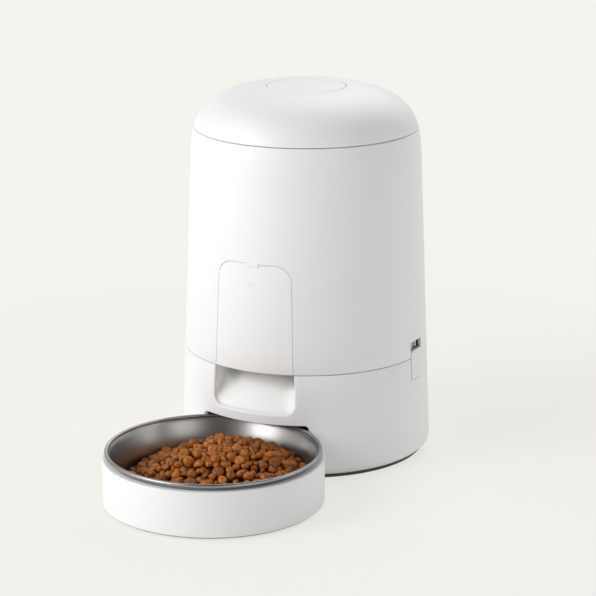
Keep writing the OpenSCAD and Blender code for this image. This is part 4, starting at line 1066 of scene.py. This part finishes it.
@dataclass
class Outlet:
    """The front panel with its upper tab, and the chute behind and below it."""

    palette: Palette
    skin: Skin = field(default_factory=Skin)
    window: FrontWindow = field(default_factory=FrontWindow)
    gap: float = 0.35
    panel_wall: float = 2.4
    panel_edge: float = 0.3
    tank_bottom: float = 76.8
    tab_half: float = 4.8
    tab_z: Point = (-2.3, 0.3)
    tab_proud: float = 0.75
    indicator_z: float = 139.5
    indicator_half: Point = (2.9, 0.95)
    post_x: float = 20.3
    post_z: Point = (90.5, 136.0)
    post_radius: float = 3.0
    post_y: float = -73.9
    post_length: float = 14.0
    mouth_deep: float = 1.75
    ramp_rise: float = 0.955
    narrowing: float = 0.115
    fillet: float = 15.0
    fillet_run: float = 12.0
    liner_top: float = 76.1
    liner_wall: float = 0.8
    liner_step: float = 1.5

    def build(self) -> None:
        """Builds the panel with its tab and posts, and the outlet's liner."""
        top, panel = self.window.top, self.palette.panel
        face = carve(
            self.skin.band(self.tank_bottom, top + 1, 0, self.panel_wall, self.panel_edge),
            [self.window.cutter(-self.gap)], Cut.COMMON,
        )
        half_x, half_z = self.indicator_half
        hole = front_block(half_x, self.indicator_z - half_z, self.indicator_z + half_z, 0.5)
        face = carve(face, [hole])
        tab = carve(
            self.skin.band(
                top + self.tab_z[0], top + self.tab_z[1], -self.tab_proud, -0.02, self.panel_edge
            ),
            [front_block(self.tab_half, 100, 200)], Cut.COMMON,
        )
        r, long = self.post_radius, self.post_length
        posts = [
            place(revolve([(0, 0), (r, 0), (r, long), (0, long)], 32, closed=False),
                  shift(x, self.post_y, z), turn(90, "X"))
            for x in (-self.post_x, self.post_x) for z in self.post_z
        ]
        reach = [(0, 60)] + self.skin.path(60, 160, self.panel_wall - 0.6) + [(0, 160)]
        trimmed = carve(join(*posts), [revolve(reach, 192, closed=False)], Cut.COMMON)
        finish_piece("chute_panel", join(face, tab, trimmed), panel, "base", ["front_panel"])
        # The liner's finish is paler than the shell's: painted light on the outlet's ramp
        chute = self.palette.chute
        finish_piece("outlet_liner", self.liner(), chute, "base", shading=Shading.SMOOTH)

    def liner_ring(self, deep: float) -> list[Point]:
        """Section of the liner in X and Z, from its left top round its foot to its right top.

        Args:
            deep: Distance behind the skin.

        Returns:
            Its points, as many at every depth.
        """
        inside = max(0.0, deep - self.mouth_deep)
        clear = min(1.0, inside)
        low = self.window.bottom + inside * self.ramp_rise + 0.3 * clear
        top = self.liner_top
        along = min(1.0, inside / self.fillet_run)
        sharp = self.window.bottom_corner
        radius = min(sharp + (self.fillet - sharp) * along, (top - low) * 0.9)
        half_top = self.window.half(top) - 0.25 * clear - inside * self.narrowing
        half_low = self.window.half(low) - 0.25 * clear - inside * self.narrowing
        side = [
            (half_low + (half_top - half_low) * (1 - i / 6), top + (low + radius - top) * i / 6)
            for i in range(6)
        ]
        corner = arc(half_low - radius, low + radius, radius, 0, -90, 10)
        middle = [((half_low - radius) * (1 - i / 6), low) for i in range(1, 6)]
        right = side + corner + middle
        return [(-x, z) for x, z in right] + [(0.0, low)] + right[::-1]

    def liner(self) -> Mesh:
        """Smooth inside of the outlet: its side walls run into the ramp with a large fillet."""
        deeps = [self.mouth_deep - 0.5] + [self.mouth_deep + i * self.liner_step for i in range(17)]
        mesh = loft(
            [[self.skin.front(x, z, deep) for x, z in self.liner_ring(deep)] for deep in deeps], closed=False
        )
        bmesh.ops.recalc_face_normals(mesh, faces=mesh.faces[:])
        lowest = min(mesh.faces, key=lambda face: face.calc_center_median().z)
        if lowest.normal.z < 0:
            bmesh.ops.reverse_faces(mesh, faces=mesh.faces[:])
        bmesh.ops.solidify(mesh, geom=mesh.faces[:], thickness=self.liner_wall)
        tidy(mesh)
        return mesh


@dataclass
class Latches:
    """The smooth faces of the two side latches, and the ribs in the finger pockets above them."""

    palette: Palette
    skin: Skin = field(default_factory=Skin)
    low: float = 60.5
    high: float = 81.3
    half: float = 8.2
    proud: float = 0.35
    depth: float = 0.6
    corner: float = 1.6
    foot_corner: float = 0.5
    rim: float = 0.3
    rib_half: float = 0.65
    rib_y: float = 2.9
    rib_x: Point = (79.0, 85.6)
    rib_z: Point = (82.4, 88.6)

    def face(self) -> Mesh:
        """Face of the right latch: a piece of the skin with rounded corners, standing a little proud."""
        half, low, high, r, foot = self.half, self.low, self.high, self.corner, self.foot_corner
        outline = rounded(
            (half - r, high - r, r), (-half + r, high - r, r),
            (-half + foot, low + foot, foot, 3), (half - foot, low + foot, foot, 3),
        )
        column = place(prism(outline, 60.0), shift(50, 0, 0), turn(90, "Z"), turn(90, "X"))
        shell = self.skin.band(low - 1, high + 1, -self.proud, self.depth, steps=384)
        made = carve(shell, [column], Cut.COMMON)
        rim = [
            edge for edge in made.edges if len(edge.link_faces) == 2 and edge.calc_face_angle() > 1.0
            and all(v.co.xy.length > self.skin.wall_radius(v.co.z) + self.proud - 0.1 for v in edge.verts)
        ]
        bmesh.ops.bevel(
            made, geom=rim, offset=self.rim, affect="EDGES", segments=3, profile=0.5, material=-1,
            clamp_overlap=True,
        )
        return made

    def build(self) -> None:
        """Builds both faces and the ribs."""
        finish_piece("latch_face_right", self.face(), self.palette.shell, "latch_right")
        left = place(self.face(), turn(180, "Z"))
        finish_piece("latch_face_left", left, self.palette.shell, "latch_left")
        ribs = []
        for side in (-1, 1):
            near, far = sorted((side * self.rib_x[0], side * self.rib_x[1]))
            for y in (-self.rib_y, self.rib_y):
                low = (near, y - self.rib_half, self.rib_z[0])
                ribs.append(block(low, (far, y + self.rib_half, self.rib_z[1]), 0.25))
        finish_piece("pocket_ribs", join(*ribs), self.palette.inner, "tank")


@dataclass
class ButtonSpring:
    """The coil spring under the lid's button; its mesh keeps one length and does not shorten with the
    button.
    """

    palette: Palette
    coil_radius: float = 11.75
    wire: float = 0.6
    low: float = 228.15
    high: float = 262.25
    coils: int = 5
    steps: int = 28
    travel: float = 3.0

    def build(self) -> None:
        """Winds the spring with a closed coil at each end."""
        mesh = bmesh.new()
        bmesh.ops.create_circle(mesh, cap_ends=False, segments=10, radius=self.wire)
        start = shift(self.coil_radius, 0, self.low + self.wire) @ turn(90, "X")
        bmesh.ops.transform(mesh, matrix=start, verts=mesh.verts[:])
        dead = 2 * self.wire + 0.1
        pitch = (self.high - self.low - 2 * self.wire - 2 * dead) / self.coils
        ends: list[Any] = mesh.verts[:] + mesh.edges[:]
        for turns, rise in ((1, dead), (self.coils, pitch), (1, dead)):
            ends = bmesh.ops.spin(
                mesh, geom=ends, cent=(0, 0, 0), axis=(0, 0, 1), dvec=(0, 0, rise / self.steps),
                angle=math.tau * turns, steps=self.steps * turns, use_merge=False,
            )["geom_last"]
        bmesh.ops.holes_fill(mesh, edges=[edge for edge in mesh.edges if edge.is_boundary], sides=0)
        tidy(mesh)
        spring = finish_piece(
            "coil_spring", mesh, self.palette.zinc, "lid", ["button_spring"], Shading.SMOOTH
        )
        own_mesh(spring)


# ---- bowl and tray


@dataclass
class BowlAndTray:
    """The steel bowl in its white tray."""

    palette: Palette
    tray_radius: float = 76.1
    tray_inner: float = 70.9
    tray_top: float = 33.4
    tray_low: float = 1.0
    tray_wall: float = 2.4
    tray_lip: float = 1.2
    foot_step: float = 1.7
    # A grey ring sits in the foot's step; its grey stands in for the shade under the tray's edge, as painted
    # shade
    shade_ring_out: float = 0.4
    shade_ring_wide: float = 3.0
    shade_ring_high: float = 0.75
    bead_top: float = 38.35
    bead_outer: float = 74.4
    bead: float = 1.3
    steel: float = 0.9
    floor_r: float = 54.0
    floor_z: float = 4.3
    heel: float = 12.5

    def build(self) -> None:
        """Builds the tray and the bowl."""
        self.build_tray()
        self.build_bowl()

    @staticmethod
    def turned(profile: Sequence[Point], closed: bool = False) -> Mesh:
        """Turns a profile round the bowl's axis.

        Args:
            profile: Radius and height of its points.
            closed: Whether the last point joins the first.

        Returns:
            The turned mesh.
        """
        return place(revolve(profile, closed=closed), shift(0, BOWL_Y, 0))

    def build_tray(self) -> None:
        """Builds the round tray, with the small step round its foot and a grey ring in that step; the ring's
        grey is painted shade along the tray's foot.
        """
        r, low, top, step = self.tray_radius, self.tray_low, self.tray_top, self.foot_step
        wall, lip = self.tray_wall, self.tray_lip
        profile = (
            [(0, low), (r - 14, low), (r - step - 0.2, low), (r - step, low + 0.2), (r - step, low + 1.0)]
            + [(r - 0.3, low + 1.0), (r, low + 1.3)]
            + arc(r - lip, top - lip, lip, 0, 90, 6)
            + arc(self.tray_inner + 0.5, top - 0.5, 0.5, 90, 180, 4)
            + [(self.tray_inner, top - 1.8), (r - wall, top - 4.6), (r - wall, low + wall), (0, low + wall)]
        )
        tray = self.turned(profile)
        finish_piece("tray_skin", tray, self.palette.shell, "tray", ["bowl_tray"])
        edge = r - step + self.shade_ring_out
        inner, high = edge - self.shade_ring_wide, low + self.shade_ring_high
        section = [(inner, low), (edge - 0.2, low), (edge, low + 0.2), (edge, high), (inner, high)]
        ring = self.turned(section, closed=True)
        finish_piece("tray_foot_shade_ring", ring, self.palette.silicone, "tray")

    def build_bowl(self) -> None:
        """Builds the spun bowl with its rolled rim."""
        bead_x, bead_z = self.bead_outer - self.bead, self.bead_top - self.bead
        wall_x, neck = bead_x - self.bead, bead_z - 2
        r, z, heel, steel = self.floor_r, self.floor_z, self.heel, self.steel
        outside = [(0, z), (r * 0.5, z)]
        outside += arc(r, z + heel, heel, -90, 0, 14)
        outside += [(r + heel + x, up) for x, up in self.flare(0.0, neck)]
        rim = arc(bead_x, bead_z, self.bead, -125, 180, 28)
        inside = [(wall_x + 0.2, bead_z - 0.7)]
        inside += [(r + heel - steel + x, up) for x, up in self.flare(0.3, neck)[::-1]]
        inside += arc(r, z + heel, heel - steel, 0, -90, 14)
        inside += [(r * 0.5, z + steel), (0, z + steel)]
        bowl = self.turned(outside + rim + inside)
        finish_piece("steel_bowl", bowl, self.palette.bowl, "bowl", ["food_bowl"])

    def flare(self, spread: float, top: float, steps: int = 9) -> list[Point]:
        """The wall above the heel, which opens out towards the rim.

        Args:
            spread: How much further it opens than the outside.
            top: Height of its upper end.
            steps: Steps along it.

        Returns:
            Distance from the heel's outermost radius, and height, of each point upwards.
        """
        low = self.floor_z + self.heel
        reach = self.bead_outer - 2 * self.bead - self.floor_r - self.heel + spread
        return [(reach * (i / steps) ** 1.25, low + (top - low) * i / steps) for i in range(1, steps + 1)]


class Nugget(Enum):
    """Shapes that the kibble comes in."""

    BEAN = "a rounded bean"
    COIN = "a thick coin with a dimple in each face"


@dataclass
class Kibble:
    """Dry food heaped in the bowl, shown for scale and not part of the feeder."""

    palette: Palette
    peak: Point = (2.0, 17.0)
    slope: tuple[Point, ...] = (
        (0, 34.4), (15, 33.6), (26, 31.0), (38, 24.5), (47, 20.0), (62, 15.0), (90, 8.0)
    )
    count: int = 900
    seed: int = 7
    tries: int = 60000
    reach: float = 64.0
    lowest: float = 7.0
    cell: int = 9
    closeness: float = 0.78
    large: Point = (3.5, 4.8)
    small: Point = (2.1, 3.2)
    large_share: float = 0.7
    coin_share: float = 0.6
    smallest_coin: float = 2.6
    under: Point = (3.5, 7.0)

    def surface(self, x: float, y: float) -> float:
        """Height of the heap at a place measured from the bowl's axis."""
        far = math.hypot(x - self.peak[0], y - self.peak[1])
        for (near_r, near_z), (far_r, far_z) in zip(self.slope, self.slope[1:]):
            if far <= far_r:
                return near_z + (far_z - near_z) * (far - near_r) / (far_r - near_r)
        return self.slope[-1][1]

    def room(self, z: float) -> float:
        """Radius inside the bowl at height z."""
        return 67.0 + max(0.0, z - 25) * 0.27 - max(0.0, 17 - z) * 0.75

    def places(self, rng: random.Random) -> list[tuple[Vector, float]]:
        """Picks where the nuggets lie.

        Args:
            rng: Source of the random numbers.

        Returns:
            Centre and radius of each nugget.
        """
        found: list[tuple[Vector, float]] = []
        cells: dict[tuple[int, int], list[tuple[Vector, float]]] = {}
        for step in range(self.tries):
            if len(found) >= self.count:
                break
            size = rng.uniform(*(self.large if rng.random() < self.large_share else self.small))
            r, heading = self.reach * math.sqrt(rng.random()), rng.random() * math.tau
            x, y = r * math.cos(heading), r * math.sin(heading)
            deep = 0.0 if step < self.tries // 2 else rng.uniform(*self.under)
            spot = Vector((x, y, self.surface(x, y) - deep + rng.uniform(-1.3, 1.3)))
            if r > self.room(spot.z) - size or spot.z < self.lowest:
                continue
            column, row = int(x // self.cell), int(y // self.cell)
            around = [(column + i, row + j) for i in (-1, 0, 1) for j in (-1, 0, 1)]
            near = [item for key in around for item in cells.get(key, ())]
            if any((spot - other).length < (size + radius) * self.closeness for other, radius in near):
                continue
            cells.setdefault((column, row), []).append((spot, size))
            found.append((spot, size))
        return found

    def nugget(self, rng: random.Random, size: float, shape: Nugget) -> Mesh:
        """Makes one nugget.

        Args:
            rng: Source of the random numbers.
            size: Its radius.
            shape: Its shape.

        Returns:
            The nugget round the origin, already tumbled.
        """
        made = bmesh.new()
        bmesh.ops.create_icosphere(made, subdivisions=2, radius=1.0)
        flat = rng.uniform(0.55, 0.7) if shape is Nugget.COIN else rng.uniform(0.7, 0.92)
        stretch = Vector((size * rng.uniform(0.98, 1.18), size * rng.uniform(0.88, 1.02), size * flat))
        offset = Vector((rng.uniform(0, 50), 0, 0))
        for vert in made.verts:
            if shape is Nugget.COIN:
                dimple = 0.34 * max(0.0, 1 - (vert.co.xy.length / 0.75) ** 2)
                level = math.copysign(min(1.0, abs(vert.co.z) * 1.5), vert.co.z)
                vert.co.z = level * (1 - dimple)
            lump = 1 + 0.24 * noise.noise(vert.co * 1.5 + offset)
            vert.co = vert.co * stretch * lump
        tilt = 0.55 if shape is Nugget.COIN else 1.3
        tumble = (
            Matrix.Rotation(rng.random() * math.tau, 4, "Z")
            @ Matrix.Rotation(rng.uniform(-tilt, tilt), 4, "X")
            @ Matrix.Rotation(rng.uniform(-tilt, tilt), 4, "Y")
        )
        bmesh.ops.transform(made, matrix=tumble, verts=made.verts[:])
        return made

    def build(self) -> None:
        """Builds the heap as one mesh."""
        rng = random.Random(self.seed)
        whole = bmesh.new()
        data = bpy.data.meshes.new("nugget")
        places = self.places(rng)
        whole.verts.layers.float.new("bake_and_painted_shade")
        for spot, size in places:
            coin = rng.random() < self.coin_share and size > self.smallest_coin
            shape = Nugget.COIN if coin else Nugget.BEAN
            made = self.nugget(rng, size, shape)
            # Each nugget gets a random paleness; one lying over 2.5 mm under the heap's surface is also
            # darkened to 55 %, which is painted shade between the nuggets
            level = rng.uniform(0.35, 1.0) * (0.55 if spot.z < self.surface(spot.x, spot.y) - 2.5 else 1.0)
            own = made.verts.layers.float.new("bake_and_painted_shade")
            for vert in made.verts:
                vert[own] = level
            bmesh.ops.translate(made, verts=made.verts[:], vec=spot + Vector((0, BOWL_Y, 0)))
            made.to_mesh(data)
            made.free()
            whole.from_mesh(data)
        bpy.data.meshes.remove(data)
        heap = as_mesh("kibble", whole)
        smooth(heap)
        heap.data.materials.append(self.palette.kibble)
        heap.parent = frame["bodies"]["bowl"]
        LOG.info("kibble: %d nuggets", len(places))


# ---- CAD nodes that keep their own mesh


@dataclass
class InnerWorks:
    """The nodes whose CAD mesh is shown as it is, each in its own finish."""

    palette: Palette

    def build(self) -> None:
        """Gives each CAD node its finish."""
        p = self.palette
        groups = {
            p.shell: ("latch_left", "latch_right", "feed_button", "base_shell", "tank_shell", "lid_shell",
                      "lid_button", "bowl_tray"),
            p.panel: ("front_panel",),
            p.chute: ("food_chute",),
            p.inner: ("base_deck", "battery_box", "rear_panel", "tower_housing", "tower_cap", "gear_plate",
                      "lid_cup", "desiccant_box", "desiccant_cover"),
            p.tank: ("food_tank", "drop_guard"),
            p.wheel: ("portion_wheel", "wheel_knob"),
            p.gear: ("transfer_gear", "output_gear", "lid_bolt_left", "lid_bolt_right"),
            p.charcoal: ("base_pan", "battery_door", "catch_plates", "tray_clip"),
            p.sleeve: ("batteries",),
            p.lens: ("indicator_lens",),
            p.pad: ("foot_pads", "tray_pads"),
            p.silicone: ("agitator", "lid_seal"),
            p.bowl: ("food_bowl",),
            p.zinc: ("base_screws", "tank_screws", "motor", "button_spring"),
            p.ground: ("latch_pins", "transfer_axle"),
            p.nickel: ("battery_contacts", "power_socket"),
            p.brass: ("motor_pinion", "output_bush"),
            p.board: ("main_board", "indicator_board"),
        }
        finishes = {node: finish for finish, nodes in groups.items() for node in nodes}
        for name, node in frame["nodes"].items():
            node.data.materials.clear()
            node.data.materials.append(finishes[name])
            LOG.info("node %s: %s", name, finishes[name].name)


# ---- studio


@dataclass
class Studio:
    """Pale floor, soft lamps and the camera."""

    backdrop: str = "#F4F3EE"
    target: Point = (-0.0058, 0.1083)
    azimuth: float = 26.29
    elevation: float = 15.64
    distance: float = 1.770
    lens: float = 147.4
    fill: float = 0.06
    room_share: float = 0.06
    room_fade: Point = (0.4, 0.95)
    floor_half: float = 8000.0
    floor_glow: float = 0.75
    floor_fade: Point = (0.2, 0.6)
    lamp_reach: float = 1.8
    lamps: tuple[tuple[str, float, float, float, float], ...] = (
        ("key_softbox", -33.0, 25.0, 21.5, 1.0),
        ("high_left_softbox", -65.0, 45.0, 7.0, 1.2),
        ("low_left_softbox", -65.0, 12.0, 3.0, 1.2),
        ("front_right_softbox", 60.0, 15.0, 5.5, 1.0),
        ("right_softbox", 110.0, 20.0, 6.1, 1.0),
        ("back_softbox", 178.0, 44.0, 17.5, 1.6),
    )

    @staticmethod
    def away(azimuth: float, elevation: float) -> Vector:
        """Direction from the feeder.

        Args:
            azimuth: Degrees from the front towards the right.
            elevation: Degrees above the floor.

        Returns:
            The unit vector.
        """
        az, el = math.radians(azimuth), math.radians(elevation)
        return Vector((math.sin(az) * math.cos(el), -math.cos(az) * math.cos(el), math.sin(el)))

    def camera(self) -> None:
        """Makes the camera and points it at the feeder."""
        az = math.radians(self.azimuth)
        right = Vector((math.cos(az), math.sin(az), 0))
        back = self.away(self.azimuth, self.elevation)
        aim = Vector((0, 0, self.target[1])) + right * self.target[0]
        data = bpy.data.cameras.new("camera")
        data.lens, data.sensor_width = self.lens, 36.0
        data.clip_start, data.clip_end = 0.01, 50.0
        camera = bpy.data.objects.new("camera", data)
        camera.location = aim + back * self.distance
        camera.rotation_euler = back.to_track_quat("Z", "Y").to_euler()
        bpy.context.scene.collection.objects.link(camera)
        bpy.context.scene.camera = camera

    def lamp(self, name: str, azimuth: float, elevation: float, power: float, side: float) -> None:
        """Makes a soft square lamp that points at the feeder.

        Args:
            name: Its name.
            azimuth: Where it stands, in degrees from the front towards the right.
            elevation: Its height, in degrees.
            power: Its power in watts.
            side: Its width in metres.
        """
        away = self.away(azimuth, elevation)
        data = bpy.data.lights.new(name, "AREA")
        data.shape, data.size, data.energy = "SQUARE", side, power
        made = bpy.data.objects.new(name, data)
        made.location = Vector((0, -0.05, 0.12)) + away * self.lamp_reach
        made.rotation_euler = away.to_track_quat("Z", "Y").to_euler()
        made.visible_camera = False
        bpy.context.scene.collection.objects.link(made)

    @staticmethod
    def sees_backdrop(tree: Tree) -> Any:
        """Adds the test that is 1 for the camera, for reflections and through clear pieces.

        Args:
            tree: The node tree it goes into.

        Returns:
            The test's output.
        """
        path = add_node(tree, "LightPath")
        mirrored = add_node(
            tree, "Math",
            {0: path.outputs["Is Glossy Ray"], 1: path.outputs["Is Transmission Ray"]}, operation="MAXIMUM",
        )
        seen = add_node(
            tree, "Math", {0: path.outputs["Is Camera Ray"], 1: mirrored.outputs["Value"]},
            operation="MAXIMUM",
        )
        return seen.outputs["Value"]

    def world(self) -> None:
        """Makes the surroundings: the backdrop's colour to the eye, a dimmer fill to the surfaces.

        Reflections see the backdrop bright only where it stands, behind the feeder, and the room dim.
        """
        world = bpy.data.worlds.new("studio")
        bpy.context.scene.world = world
        tree = empty_tree(world)
        fill = add_node(tree, "Background", {"Color": (1, 1, 1, 1), "Strength": self.fill})
        az = math.radians(self.azimuth)
        where = add_node(tree, "TexCoord").outputs["Generated"]
        heading = add_node(
            tree, "VectorMath", {0: where, 1: (-math.sin(az), math.cos(az), 0.0)},
            operation="DOT_PRODUCT",
        )
        room = add_node(
            tree, "MapRange",
            {"Value": heading.outputs["Value"], "From Min": self.room_fade[0], "From Max": self.room_fade[1],
             "To Min": self.room_share},
            interpolation_type="SMOOTHSTEP",
        )
        eye = add_node(tree, "LightPath")
        level = add_node(
            tree, "Math", {0: room.outputs["Result"], 1: eye.outputs["Is Camera Ray"]},
            operation="MAXIMUM",
        )
        shown = add_node(
            tree, "Background", {"Color": linear(self.backdrop), "Strength": level.outputs["Value"]}
        )
        mixed = add_node(
            tree, "MixShader",
            {"Fac": self.sees_backdrop(tree), 1: fill.outputs[0], 2: shown.outputs[0]},
        )
        add_node(tree, "OutputWorld", {"Surface": mixed.outputs[0]})

    def floor(self) -> None:
        """Makes the pale floor: it keeps the feeder's soft shadow and turns into backdrop further out."""
        mesh = bmesh.new()
        bmesh.ops.create_grid(mesh, x_segments=1, y_segments=1, size=self.floor_half)
        floor = as_mesh("studio_floor", mesh)
        made = bpy.data.materials.new("floor_paper")
        tree = empty_tree(made)
        paper = add_node(tree, "BsdfDiffuse", {"Color": linear(self.backdrop)})
        glow = add_node(tree, "Emission", {"Color": linear(self.backdrop), "Strength": 1.0})
        where = add_node(tree, "TexCoord")
        reach = add_node(tree, "VectorMath", {0: where.outputs["Object"]}, operation="LENGTH")
        share = add_node(
            tree, "MapRange",
            {"Value": reach.outputs["Value"], "From Min": self.floor_fade[0], "From Max": self.floor_fade[1],
             "To Min": self.floor_glow},
            interpolation_type="SMOOTHSTEP",
        )
        glowing = add_node(
            tree, "Math", {0: self.sees_backdrop(tree), 1: share.outputs["Result"]},
            operation="MULTIPLY",
        )
        mixed = add_node(
            tree, "MixShader",
            {"Fac": glowing.outputs["Value"], 1: paper.outputs[0], 2: glow.outputs[0]},
        )
        add_node(tree, "OutputMaterial", {"Surface": mixed.outputs[0]})
        floor.data.materials.append(made)

    def build(self) -> None:
        """Sets up the studio."""
        bpy.context.scene.view_settings.view_transform = "Standard"
        self.world()
        self.floor()
        for settings in self.lamps:
            self.lamp(*settings)


def main() -> None:
    """Builds the feeder's looks and the studio."""
    logging.basicConfig(level=logging.INFO, format="%(name)s: %(message)s")
    studio = Studio()
    studio.camera()
    palette = Palette()
    for part in (InnerWorks, BodyShells, Outlet, Latches, ButtonSpring, BowlAndTray, Kibble):
        part(palette).build()
    studio.build()


if __name__ == "__main__":
    main()
